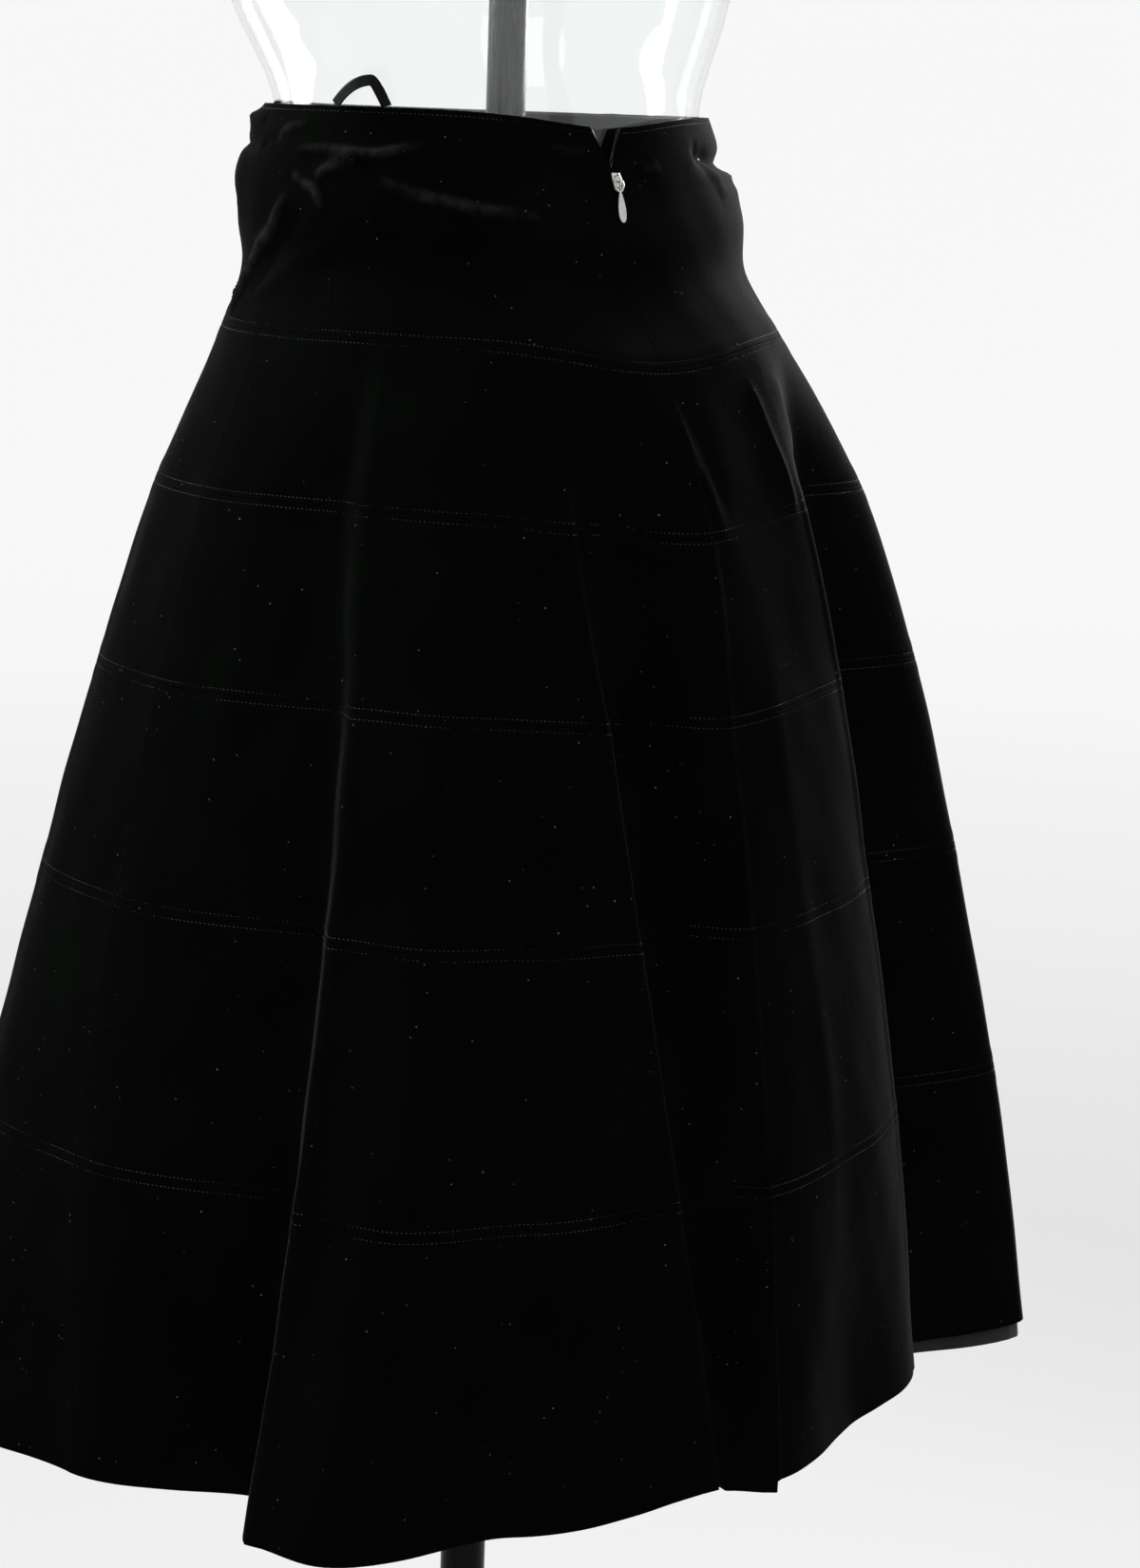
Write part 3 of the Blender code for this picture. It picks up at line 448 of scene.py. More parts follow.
def smooth_point(place, drop, slide=0.0):
    """Points of the skirt's outer face before creases. Slide moves them along the ring, in metres."""
    place, drop, slide = np.broadcast_arrays(
        np.asarray(place, float), np.asarray(drop, float), np.asarray(slide, float)
    )
    angle, out = fold_place(place, drop)
    half_width = level_value(drop, "half_width")
    half_depth = level_value(drop, "half_depth")
    angle = angle + np.degrees(slide / (ring_radius(angle, half_width, half_depth) + out))
    radius = ring_radius(angle, half_width, half_depth) + out
    turn = np.radians(angle)
    sag = level_value(drop, "sag") * bell((angle % 360 - SAG_ANGLE) / SAG_SPREAD)
    height = waist_level() - drop - sag
    shift = level_value(drop, "shift")
    return np.stack([radius * np.cos(turn), radius * np.sin(turn) + shift, height], -1)


def place_beside(seam, drop, slide):
    """Places at distances, in metres along the ring, from a seam."""
    angle, out = fold_place(np.full(np.shape(slide), seam), drop)
    radius = ring_radius(angle, level_value(drop, "half_width"), level_value(drop, "half_depth")) + out
    return place_at_angle(angle + np.degrees(slide / radius), drop)


def smooth_normal(place, drop, slide=0.0):
    """The way out of the smooth cloth."""
    before, after = (smooth_point(place + step, drop, slide) for step in (-PLACE_STEP, PLACE_STEP))
    across = after - before
    held = np.minimum(drop, HEM)
    lower = np.minimum(held + DROP_STEP, HEM)
    upper = np.maximum(held - DROP_STEP, 0.0)
    down = smooth_point(place, lower, slide) - smooth_point(place, upper, slide)
    return unit(np.cross(down, across))


# How creases fade: over this share of their length at each end, unevenly along it, and sideways.
# Then how high and how narrow a crease has to be to carry the painted highlight on its crest.
CREASES = []
CREASE_MM_PER_DEGREE = 2.1
CREASE_END = 0.22
CREASE_UNEVEN = 0.18
CREASE_FALL = 1.6
CREASE_REACH = 3.0
HIGHLIGHT_FULL_HEIGHT = 0.0028
HIGHLIGHT_NARROWER = 1.1
HIGHLIGHT_WIDEST = 0.0052


def crease_lines(rows):
    """Each crease as its points in space, its height and its width in metres."""
    lines = []
    for _, height, width, points in rows:
        angles = np.array([p[0] for p in points], float)
        drops = np.array([p[1] for p in points], float) / 1000
        angles = np.where(angles < FOLD_ANGLES[0, 0], angles + 360, angles)
        run = np.hypot(np.diff(drops) * 1000, np.diff(angles) * CREASE_MM_PER_DEGREE).sum()
        share = np.linspace(0, 1, max(24, int(2.5 * run / width)))
        known = np.linspace(0, 1, len(points))
        curve = ease if len(points) > 2 else np.interp
        angles, drops = curve(share, known, angles), curve(share, known, drops)
        lines.append((smooth_point(place_at_angle(angles, drops), drops), height / 1000, width / 1000))
    return lines


def crease_height(points):
    """How far the creases move each point out of the cloth, and how much painted highlight their crests
    lay on it.
    """
    flat = points.reshape(-1, 3)
    total = np.zeros(len(flat))
    crest_highlight = np.zeros(len(flat))
    for line, height, width in CREASES:
        reach = CREASE_REACH * width
        near = ((flat > line.min(0) - reach) & (flat < line.max(0) + reach)).all(1)
        if not near.any():
            continue
        some = flat[near]
        gap = np.linalg.norm(some[:, None] - line[None], axis=2)
        best = gap.argmin(1)
        along = best / (len(line) - 1)
        taper = np.clip(np.minimum(along, 1 - along) / CREASE_END, 0, 1)
        uneven = 1 - CREASE_UNEVEN + CREASE_UNEVEN * np.cos(9 * along + 40 * height)
        taper = taper * (2 - taper) * uneven
        distance = gap.min(1) / width
        total[near] += height * taper * np.exp(-distance**CREASE_FALL)
        # Raised narrow creases get a painted highlight along their crests, strongest midway along them.
        sharp = float(np.clip((HIGHLIGHT_WIDEST - width) / HIGHLIGHT_WIDEST * 2, 0.0, 1.0))
        if height > 0 and sharp:
            thin = bell(HIGHLIGHT_NARROWER * distance) * np.sin(math.pi * along) ** 0.8
            crest_highlight[near] += height / HIGHLIGHT_FULL_HEIGHT * sharp * thin
    shape = points.shape[:-1]
    return total.reshape(shape), crest_highlight.reshape(shape)


RIPPLE_WAVES = 14
RIPPLE_UPRIGHT = (1.0, 1.0, 0.45)
RIPPLE_LOWEST = 0.4
RIPPLE_SHORTEST = 0.022
RIPPLE_LONGEST = 0.075


def ripple_height(points):
    """Small uneven ripples all over the cloth."""
    sizes = bpy.context.scene.skirt_sizes
    draw = np.random.default_rng(sizes.ripple_seed)
    total = np.zeros(points.shape[:-1])
    for _ in range(RIPPLE_WAVES):
        way = draw.normal(size=3)
        way *= np.array(RIPPLE_UPRIGHT)
        way /= np.linalg.norm(way)
        length = draw.uniform(RIPPLE_SHORTEST, RIPPLE_LONGEST)
        phase = draw.uniform(0, 2 * math.pi)
        total += np.sin(2 * math.pi * (points @ way) / length + phase) * draw.uniform(RIPPLE_LOWEST, 1.0)
    return total * sizes.ripple / math.sqrt(RIPPLE_WAVES)


# Relief of the seams, and of folds that are sharp: name, rise, width and drop where it starts
EDGE_CALM = (0.002, 0.022)
SEAM_RISE = 0.00025
SEAM_RISE_REACH = (0.0062, 0.0088)
STITCH_DIP = 0.00014
STITCH_DIP_WIDTH = 0.0007
SHARP_LINES = (
    ("left_side_seam", 0.0002, 0.0020, 0.103),
    ("centre_back_seam", 0.0010, 0.0020, 0.103),
    ("right_side_seam", 0.0002, 0.0020, 0.103),
    ("flute_a_edge", 0.0003, 0.0024, 0.150),
    ("flute_a_right_edge", 0.0009, 0.0024, 0.108),
    ("panel_b_edge", 0.0012, 0.0024, 0.150),
    ("left_ridge", 0.0007, 0.0045, 0.160),
    ("right_front_ridge", 0.0007, 0.0045, 0.150),
    ("front_ridge", 0.0007, 0.0045, 0.165),
)
SHARP_FADE = 0.04
SHARP_REACH = 0.9
WAIST_STITCH_DROP = 0.0026
SEAM_SAMPLES = 2400
WAIST_SAMPLES = 900
ROW_END = 0.002
WAIST_ROW_END = 0.01
STITCH_WAVES = (31.0, 83.0)
STITCH_SINK = 0.00012
STITCH_START = 0.18
STITCH_JITTER = 0.00015
STITCH_RINGS = ((0.0, 0.25, -0.6), (0.22, 0.95, 0.40), (0.78, 0.95, 0.40), (1.0, 0.25, -0.6))


def seam_height(away):
    """Relief across a pressed seam: the allowances under it and the two dips of its topstitching."""
    sizes = bpy.context.scene.skirt_sizes
    away = np.abs(away)
    dip = bell((away - sizes.stitch_offset) / STITCH_DIP_WIDTH)
    return SEAM_RISE * (1 - smooth_step(away, *SEAM_RISE_REACH)) - STITCH_DIP * dip


def long_seams():
    """Places of the three long seams of the bands: left side, centre back and right side."""
    return [FOLD_NAMES.index(name) for name in ("left_side_seam", "centre_back_seam", "right_side_seam")]


def cloth_relief(place, drop, points):
    """All that lifts or sinks the cloth: creases, ripples and pressed seams."""
    sizes = bpy.context.scene.skirt_sizes
    height = crease_height(points)[0] * sizes.crease_strength
    calm = smooth_step(drop, *EDGE_CALM)
    height = np.where(height < 0, height * calm, height)
    height = height + ripple_height(points) * calm
    for name in SEAM_NAMES[:-1]:
        height = height + seam_height(drop - level_drop(name))
    count = len(FOLDS)
    for name, rise, width, start in SHARP_LINES:
        for line in (FOLD_NAMES.index(name), FOLD_NAMES.index(name) + count):
            near = np.abs(place - line) < SHARP_REACH
            if near.any():
                edge = smooth_point(np.full(place.shape, float(line)), drop)
                away = np.linalg.norm(points - edge, axis=-1)
                grow = smooth_step(drop, start, start + SHARP_FADE)
                height = height + np.where(near, rise * grow * bell(away / width), 0.0)
    return height


def opening_slide(place, drop, side):
    """How far the yoke is drawn back beside the open top of the zip."""
    width = OPENING_LEFT if side < 0 else OPENING_RIGHT
    back = np.full(np.shape(place), float(FOLD_NAMES.index("centre_back_seam")))
    away = np.abs(fold_place(place, drop)[0] - fold_place(back, drop)[0])
    share = np.clip(1 - drop / OPENING_DEPTH, 0.0, None)
    return side * width * share * np.clip(1 - away / OPENING_SPREAD, 0.0, None)


def cloth_point(place, drop, slide=0.0, side=0, inset=0.0):
    """Finished points of the cloth at an inset from its outer face, and the way out there."""
    place, drop = np.broadcast_arrays(np.asarray(place, float), np.asarray(drop, float))
    if side:
        slide = slide + opening_slide(place, drop, side)
    points = smooth_point(place, drop, slide)
    normals = smooth_normal(place, drop, slide)
    height = cloth_relief(place, drop, points)
    return points + normals * (height - inset)[..., None], normals


def panel_places(start, end, column):
    """Places across a panel, about a column apart at the hem and closer at its edges."""
    dense = np.linspace(start, end, EDGE_SAMPLES)
    run = run_along(smooth_point(dense, HEM))
    edge = np.array(EDGE_STEPS)
    middle = run[-1] - 2 * edge[-1]
    steps = max(4, math.ceil(middle / column))
    inner = edge[-1] + middle * np.arange(1, steps) / steps
    marks = np.concatenate([edge, inner, run[-1] - edge[::-1]])
    return np.interp(marks, run, dense)


def panel_rows(top, bottom, row):
    """Drops from one edge of a panel to the other, closer together at its seams."""
    edge = np.array(EDGE_STEPS)
    middle = bottom - top - 2 * edge[-1]
    steps = max(3, math.ceil(middle / row))
    inner = top + edge[-1] + middle * np.arange(1, steps) / steps
    return np.concatenate([top + edge, inner, bottom - edge[::-1]])


def round_edge(distance, wall):
    """How far both faces draw together near an edge, so that it is rounded."""
    radius = 0.5 * wall * EDGE_ROUND_SHARE
    near = np.clip(distance, 0.0, radius)
    return radius - np.sqrt(np.clip(radius**2 - (radius - near) ** 2, 0.0, None))


def edge_distance(places, rows, points):
    """Distance of each grid point from the nearest edge of its panel."""
    down = np.minimum(rows - rows[:1], rows[-1:] - rows)
    first = np.linalg.norm(points - points[:, :1], axis=-1)
    last = np.linalg.norm(points - points[:, -1:], axis=-1)
    return np.minimum(down, np.minimum(first, last))


def shell_mesh(name, outer, inner, tube=False):
    """One closed thin wall between two grids of points: rows top to bottom, columns anticlockwise."""
    rows, columns = outer.shape[:2]
    count = rows * columns
    index = np.arange(count).reshape(rows, columns)
    if tube:
        index = np.concatenate([index, index[:, :1]], 1)
    a, b = index[:-1, :-1].ravel(), index[:-1, 1:].ravel()
    c, d = index[1:, 1:].ravel(), index[1:, :-1].ravel()
    faces = [np.stack([a, d, c, b], 1), np.stack([a, b, c, d], 1) + count]
    rims = [index[0], index[-1, ::-1]]
    if not tube:
        rims += [index[::-1, 0], index[:, -1]]
    for rim in rims:
        faces.append(np.stack([rim[:-1], rim[1:], rim[1:] + count, rim[:-1] + count], 1))
    verts = np.concatenate([outer.reshape(-1, 3), inner.reshape(-1, 3)])
    return fast_mesh(name, verts, np.concatenate(faces))


def fast_mesh(name, verts, quads):
    """A smooth-shaded mesh of four-sided faces."""
    mesh = bpy.data.meshes.new(name)
    mesh.vertices.add(len(verts))
    mesh.vertices.foreach_set("co", np.ascontiguousarray(verts, np.float32).ravel())
    mesh.loops.add(quads.size)
    mesh.loops.foreach_set("vertex_index", np.ascontiguousarray(quads, np.int32).ravel())
    mesh.polygons.add(len(quads))
    mesh.polygons.foreach_set("loop_start", np.arange(0, quads.size, 4, dtype=np.int32))
    mesh.update(calc_edges=True)
    mesh.validate()
    mesh.shade_smooth()
    return mesh


def add_piece(name, mesh, material, body=BODY):
    """Put a mesh in the scene as a piece that rides on a body."""
    piece = bpy.data.objects.new(name, mesh)
    bpy.context.scene.collection.objects.link(piece)
    mesh.materials.clear()
    mesh.materials.append(material)
    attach(piece, body)
    return piece


def cloth_panel(name, edges, drops, cloth, node, side=0, column=CLOTH_COLUMN, droop=0.0):
    """A panel between two edges, standing for its CAD node. Cloth: insets, material and slot; the slot
    is not used.
    """
    start, end = edges
    insets, material, slot = cloth
    places, rows = np.meshgrid(panel_places(start, end, column), drops)
    share = (rows - rows[0, 0]) / (rows[-1, 0] - rows[0, 0])
    rows = rows + droop * share**2 * smooth_step(end - places, HEM_DROOP_PLACES, 0.4 * HEM_DROOP_PLACES)
    slide = np.zeros(places.shape)
    slide[:, 0] = 0.5 * SEWN_GAP
    slide[:, -1] = -0.5 * SEWN_GAP
    middle, normals = cloth_point(places, rows, slide, side)
    depth, wall = insets(places, rows)
    draw = round_edge(edge_distance(places, rows, middle), wall)
    outer = middle - normals * (depth + draw)[..., None]
    inner = middle - normals * (depth + wall - draw)[..., None]
    piece = add_piece(name, shell_mesh(name, outer, inner), material)
    # Painted highlight on the yoke's crease crests, kept on the outer face's points for the velvet's
    # colour.
    crest_highlight = np.zeros(2 * places.size)
    if name.startswith("velvet_yoke"):
        crest_highlight[:places.size] = crease_height(smooth_point(places, rows, slide))[1].ravel()
    attribute = piece.data.attributes.new("pile_crush", "FLOAT", "POINT")
    attribute.data.foreach_set("value", crest_highlight.astype(np.float32))
    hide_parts(node)
    return piece


def velvet_insets(_places, _rows):
    """Depth of the velvet's outer face and its thickness."""
    return 0.0, bpy.context.scene.skirt_sizes.velvet_wall


def lining_insets(place, drop):
    """Depth of the lining's outer face, which passes inside the zip tapes, and its thickness."""
    sizes = bpy.context.scene.skirt_sizes
    back = np.full(np.shape(place), float(FOLD_NAMES.index("centre_back_seam")))
    away = np.abs(fold_place(place, drop)[0] - fold_place(back, drop)[0])
    bump = np.clip((TAPE_BUMP_END - away) / TAPE_BUMP_FADE, 0.0, 1.0)
    return sizes.velvet_wall + sizes.seam_gap + (TAPE_WALL + sizes.seam_gap) * bump, sizes.lining_wall


def yoke_panels():
    """The yoke's three panels: name, edges and the side of the zip that each is on."""
    _, back, right = long_seams()
    left = float(place_at_angle(YOKE_LEFT_ANGLE, 0.0))
    return (
        ("back_left", left, back, -1),
        ("back_right", back, right, 1),
        ("front", right, left + len(FOLDS), 0),
    )


def band_panels():
    """The panels of each band: name and edges."""
    left, back, right = long_seams()
    return (("back_left", left, back), ("back_right", back, right), ("front", right, left + len(FOLDS)))


def band_levels():
    """Upper and lower drop of each band, half a seam gap in from its seams."""
    half = 0.5 * SEWN_GAP
    levels = []
    for upper, lower in zip(SEAM_NAMES, SEAM_NAMES[1:]):
        levels.append((level_drop(upper) + half, level_drop(lower) - (half if lower != "hem" else 0.0)))
    return levels


class Nodes:
    """Short way to build a material's nodes."""

    def __init__(self, name):
        self.material = bpy.data.materials.new(name)
        self.material.use_nodes = True
        self.tree = self.material.node_tree
        self.shader = self.tree.nodes["Principled BSDF"]
        self.place = self.add("ShaderNodeTexCoord").outputs["Object"]

    def add(self, kind, **values):
        """Add a node and set its properties."""
        node = self.tree.nodes.new(kind)
        for key, value in values.items():
            setattr(node, key, value)
        return node

    def link(self, source, target):
        """Join two sockets."""
        self.tree.links.new(source, target)

    def to(self, socket, source):
        """Join a value to one of the shader's sockets."""
        self.link(source, self.shader.inputs[socket])

    def paint(self, value, name, *tones):
        """Colour the surface along a value: places, and how much lighter its colour is there."""
        base = tuple(getattr(bpy.context.scene.skirt_colours, name))
        stops = [(place, scaled(base, light)) for place, light in tones]
        self.to("Base Color", self.ramp(value, stops))

    def lines(self):
        """Fine upright streaks."""
        return self.noise(1.0, 2.0, 0.6, self.stretched((900.0, 900.0, 14.0)))

    def set(self, **values):
        """Set the shader's own sockets."""
        for key, value in values.items():
            self.shader.inputs[key.replace("_", " ")].default_value = value

    def stretched(self, scale):
        """Object coordinates scaled along each axis."""
        node = self.add("ShaderNodeMapping")
        node.inputs["Scale"].default_value = scale
        self.link(self.place, node.inputs["Vector"])
        return node.outputs["Vector"]

    def noise(self, scale, detail=2.0, roughness=0.5, vector=None):
        """Noise from 0 to 1."""
        node = self.add("ShaderNodeTexNoise")
        node.inputs["Scale"].default_value = scale
        node.inputs["Detail"].default_value = detail
        node.inputs["Roughness"].default_value = roughness
        self.link(vector or self.place, node.inputs["Vector"])
        return node.outputs["Fac"]

    def ramp(self, value, stops):
        """Colours at places along a value."""
        node = self.add("ShaderNodeValToRGB")
        ramp = node.color_ramp
        while len(ramp.elements) < len(stops):
            ramp.elements.new(0.5)
        for element, (position, colour) in zip(ramp.elements, stops):
            element.position = position
            element.color = (*colour, 1.0)
        self.link(value, node.inputs["Fac"])
        return node.outputs["Color"]

    def mix(self, factor, first, second):
        """Mix two colours or sockets by a factor."""
        node = self.add("ShaderNodeMix", data_type="RGBA")
        self.link(factor, node.inputs["Factor"])
        for socket, value in ((node.inputs[6], first), (node.inputs[7], second)):
            if isinstance(value, bpy.types.NodeSocket):
                self.link(value, socket)
            else:
                socket.default_value = (*value, 1.0)
        return node.outputs[2]

    def span(self, value, low, high, start=0.0, end=1.0):
        """Carry a value from one range to another."""
        node = self.add("ShaderNodeMapRange")
        for key, number in zip(("From Min", "From Max", "To Min", "To Max"), (start, end, low, high)):
            node.inputs[key].default_value = number
        self.link(value, node.inputs["Value"])
        return node.outputs["Result"]

    def bump(self, height, distance, strength=1.0, below=None):
        """Fine relief from a height."""
        node = self.add("ShaderNodeBump")
        node.inputs["Distance"].default_value = distance
        node.inputs["Strength"].default_value = strength
        self.link(height, node.inputs["Height"])
        if below is not None:
            self.link(below, node.inputs["Normal"])
        return node.outputs["Normal"]


def scaled(colour, factor):
    """A colour made lighter or darker."""
    return tuple(min(1.0, part * factor) for part in colour)


MATERIALS = {}


def finish_of(name, make):
    """Make a finish once and hand it out again."""
    if name not in MATERIALS:
        nodes = Nodes(name)
        make(nodes)
        MATERIALS[name] = nodes.material
    return MATERIALS[name]


def finish_node(name, material):
    """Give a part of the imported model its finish."""
    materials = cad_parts[name].data.materials
    materials.clear()
    materials.append(material)


LINT_COLOUR = (0.09, 0.09, 0.082)


def velvet_finish(n):
    """Black cotton velvet: matt pile, pale sheen at its edges, random patches, a painted highlight along
    sharp crease crests, and lint.
    """
    colours = bpy.context.scene.skirt_colours
    base = tuple(colours.velvet)
    patches = n.ramp(n.noise(16.0, 3.0), ((0.35, scaled(base, 0.75)), (0.70, scaled(base, 1.5))))
    lint = n.add("ShaderNodeTexVoronoi", feature="F1")
    lint.inputs["Scale"].default_value = 150.0
    n.link(n.place, lint.inputs["Vector"])
    near = n.span(lint.outputs["Distance"], 1.0, 0.0, 0.045, 0.075)
    some = n.span(n.noise(43.0, 1.0), 0.0, 1.0, 0.47, 0.72)
    both = n.add("ShaderNodeMath", operation="MULTIPLY")
    n.link(near, both.inputs[0])
    n.link(some, both.inputs[1])
    # Painted highlight: the colour turns lighter, unevenly, along the crests of sharp creases.
    crest_highlight = n.add("ShaderNodeAttribute", attribute_name="pile_crush")
    uneven = n.add("ShaderNodeMath", operation="MULTIPLY")
    n.link(n.span(crest_highlight.outputs["Fac"], 0.0, 1.0, 0.05, 1.1), uneven.inputs[0])
    n.link(n.span(n.noise(130.0, 3.0, 0.6), 0.25, 1.0, 0.35, 0.62), uneven.inputs[1])
    highlighted = n.mix(uneven.outputs[0], patches, tuple(colours.crease_highlight))
    n.to("Base Color", n.mix(both.outputs[0], highlighted, LINT_COLOUR))
    n.set(Roughness=0.92, Specular_IOR_Level=0.011, Sheen_Weight=0.075, Sheen_Roughness=0.17)
    n.set(Sheen_Tint=(*colours.velvet_sheen, 1.0))
    pile = n.bump(n.noise(1400.0, 2.0, 0.6), 0.0004, 0.5)
    n.to("Normal", n.bump(n.noise(160.0, 3.0, 0.6), 0.0005, 0.35, pile))


def satin_finish(n):
    """Black satin: smooth, with long soft streaks and a fine twill."""
    streaks = n.noise(1.0, 3.0, 0.6, n.stretched((220.0, 220.0, 9.0)))
    n.paint(streaks, "satin", (0.3, 0.7), (0.75, 1.6))
    n.to("Roughness", n.span(streaks, 0.34, 0.50))
    n.set(Specular_IOR_Level=0.06, Sheen_Weight=0.08, Sheen_Roughness=0.35)
    n.set(Sheen_Tint=(0.74, 0.80, 0.98, 1.0))
    twill = n.noise(1.0, 1.0, 0.4, n.stretched((2600.0, 2600.0, 700.0)))
    n.to("Normal", n.bump(twill, 0.00015, 0.5, n.bump(streaks, 0.0006, 0.5)))


def thread_finish(n):
    """Black sewing thread with a slight shine and a twist."""
    twist = n.noise(2600.0, 1.0)
    n.paint(twist, "thread", (0.3, 0.6), (0.7, 1.5))
    n.set(Roughness=0.6, Specular_IOR_Level=0.2, Sheen_Weight=0.03)
    n.to("Normal", n.bump(twist, 0.0001, 0.6))


def tape_finish(n):
    """Woven zip tape in dark grey."""
    weave = n.add("ShaderNodeTexChecker")
    weave.inputs["Scale"].default_value = 1500.0
    n.link(n.place, weave.inputs["Vector"])
    n.paint(n.noise(500.0, 2.0), "zip_tape", (0.3, 0.7), (0.7, 1.7))
    n.set(Roughness=0.75, Specular_IOR_Level=0.3, Sheen_Weight=0.2)
    n.to("Normal", n.bump(weave.outputs["Fac"], 0.0002, 0.5))


def metal_finish(n):
    """Polished silver-coloured zip metal with fine wear."""
    wear = n.noise(900.0, 3.0)
    n.paint(wear, "zip_metal", (0.3, 0.8), (0.7, 1.05))
    n.to("Roughness", n.span(wear, 0.14, 0.34))
    n.set(Metallic=1.0)
    n.to("Normal", n.bump(wear, 0.00005, 0.5))


def clear_finish(n):
    """Clear moulded plastic, slightly uneven, with painted shade that darkens its colour towards its
    contours.
    """
    # Painted shade: the colour darkens where the surface turns edge-on to the view, at its contours.
    edge = n.add("ShaderNodeLayerWeight")
    edge.inputs["Blend"].default_value = 0.5
    n.paint(edge.outputs["Facing"], "clear_plastic", (0.45, 1.0), (0.80, 0.90), (1.0, 0.62))
    n.set(Transmission_Weight=1.0, IOR=1.33)
    n.to("Roughness", n.span(n.noise(14.0, 2.0), 0.01, 0.05))
    n.to("Normal", n.bump(n.noise(6.0, 1.0), 0.0015, 0.12))


def stand_finish(n):
    """Black paint on the stand, faintly uneven."""
    lines = n.lines()
    n.paint(lines, "stand", (0.3, 0.8), (0.7, 1.5))
    n.to("Roughness", n.span(lines, 0.22, 0.34))
    n.set(Specular_IOR_Level=0.07)
    n.to("Normal", n.bump(lines, 0.0001, 0.3))


def steel_finish(n):
    """Grey drawn steel of the upper pole."""
    lines = n.lines()
    n.paint(lines, "steel", (0.3, 0.95), (0.7, 1.08))
    n.to("Roughness", n.span(lines, 0.2, 0.34))
    n.set(Metallic=0.8)
    n.to("Normal", n.bump(lines, 0.0001, 0.08))


FLOOR_RADIUS = 6.0
BACKDROP_CURVE = 2.5
BACKDROP_HEIGHT = 6.0
GLOW = ((0.2, 0.54), (0.5, 0.68), (0.8, 0.775), (1.0, 0.79))


def floor_finish(n):
    """Pale plain studio floor."""
    n.paint(n.noise(0.6, 2.0), "floor", (0.3, 0.98), (0.7, 1.0))
    n.set(Emission_Color=(1.0, 1.0, 1.0, 1.0))
    split = n.add("ShaderNodeSeparateXYZ")
    n.link(n.place, split.inputs["Vector"])
    flat = n.add("ShaderNodeCombineXYZ")
    n.link(split.outputs["X"], flat.inputs["X"])
    n.link(split.outputs["Y"], flat.inputs["Y"])
    away = n.add("ShaderNodeVectorMath", operation="LENGTH")
    n.link(flat.outputs["Vector"], away.inputs[0])
    stops = [(place, (glow, glow, glow)) for place, glow in GLOW]
    n.to("Emission Strength", n.ramp(n.span(away.outputs["Value"], 0.0, 1.0, 0.0, FLOOR_RADIUS), stops))
    n.set(Roughness=0.9, Specular_IOR_Level=0.0)


def stitch_mesh(name, starts, ends, outs, radius):
    """Short rounded stitches between pairs of points, as one mesh."""
    along = unit(ends - starts)
    side = unit(np.cross(along, outs))
    lift = np.cross(side, along)
    sides = 4
    verts = []
    for share, wide, rise in STITCH_RINGS:
        centre = starts + (ends - starts) * share + lift * (radius * rise)
        for k in range(sides):
            turn = 2 * math.pi * k / sides
            verts.append(centre + (side * math.cos(turn) + lift * math.sin(turn)) * (radius * wide))
    verts = np.stack(verts, 1)
    count = verts.shape[1]
    quads = []
    for ring in range(len(STITCH_RINGS) - 1):
        for k in range(sides):
            a, b = ring * sides + k, ring * sides + (k + 1) % sides
            quads.append((a, b, b + sides, a + sides))
    last = (len(STITCH_RINGS) - 1) * sides
    quads.append(tuple(reversed(range(sides))))
    quads.append(tuple(last + k for k in range(sides)))
    quads = np.array(quads)
    base = np.arange(len(starts))[:, None, None] * count
    return fast_mesh(name, verts.reshape(-1, 3), (quads[None] + base).reshape(-1, 4))


def add_stitches(name, rows):
    """Topstitching along rows of (places, drops, slides, side), as one piece."""
    sizes = bpy.context.scene.skirt_sizes
    draw = np.random.default_rng(len(name) * 31)
    starts, ends, outs = [], [], []
    for place, drop, slide, side in rows:
        points, normals = cloth_point(place, drop, slide, side)
        run = run_along(points)
        count = int(run[-1] / sizes.stitch_pitch)
        if count < 1:
            continue
        begin = (np.arange(count) + STITCH_START) * sizes.stitch_pitch
        begin = begin + draw.uniform(-1, 1, count) * STITCH_JITTER
        for marks, target in ((begin, starts), (begin + sizes.stitch_length, ends)):
            target.append(np.stack([np.interp(marks, run, points[:, k]) for k in range(3)], 1))
        outs.append(np.stack([np.interp(begin, run, normals[:, k]) for k in range(3)], 1))
        waves = np.sin(begin * STITCH_WAVES[0] + draw.uniform(0, 6)) + np.sin(begin * STITCH_WAVES[1])
        sink = STITCH_SINK * (1 + waves / 2) + draw.uniform(0, 1, count) * STITCH_SINK
        starts[-1] -= outs[-1] * sink[:, None]
        ends[-1] -= outs[-1] * sink[:, None]
    mesh = stitch_mesh(name, *map(np.concatenate, (starts, ends, outs)), sizes.thread_radius)
    return add_piece(name, mesh, finish_of("sewing_thread", thread_finish))


class SKIRT_OT_velvet_yoke(bpy.types.Operator):
    """Build the high yoke in three velvet panels."""

    bl_idname = "skirt.velvet_yoke"
    bl_label = "Velvet yoke"

    def execute(self, context):
        CREASES.clear()
        CREASES.extend(crease_lines(YOKE_CREASES + SKIRT_CREASES))
        velvet = (velvet_insets, finish_of("black_velvet", velvet_finish), "velvet")
        drops = panel_rows(0.0, level_drop("yoke_seam") - 0.5 * SEWN_GAP, YOKE_ROW)
        for key, start, end, side in yoke_panels():
            cloth_panel(
                f"velvet_yoke_{key}", (start, end), drops, velvet, f"yoke_{key}",
                side, YOKE_COLUMN,
            )
        return {"FINISHED"}


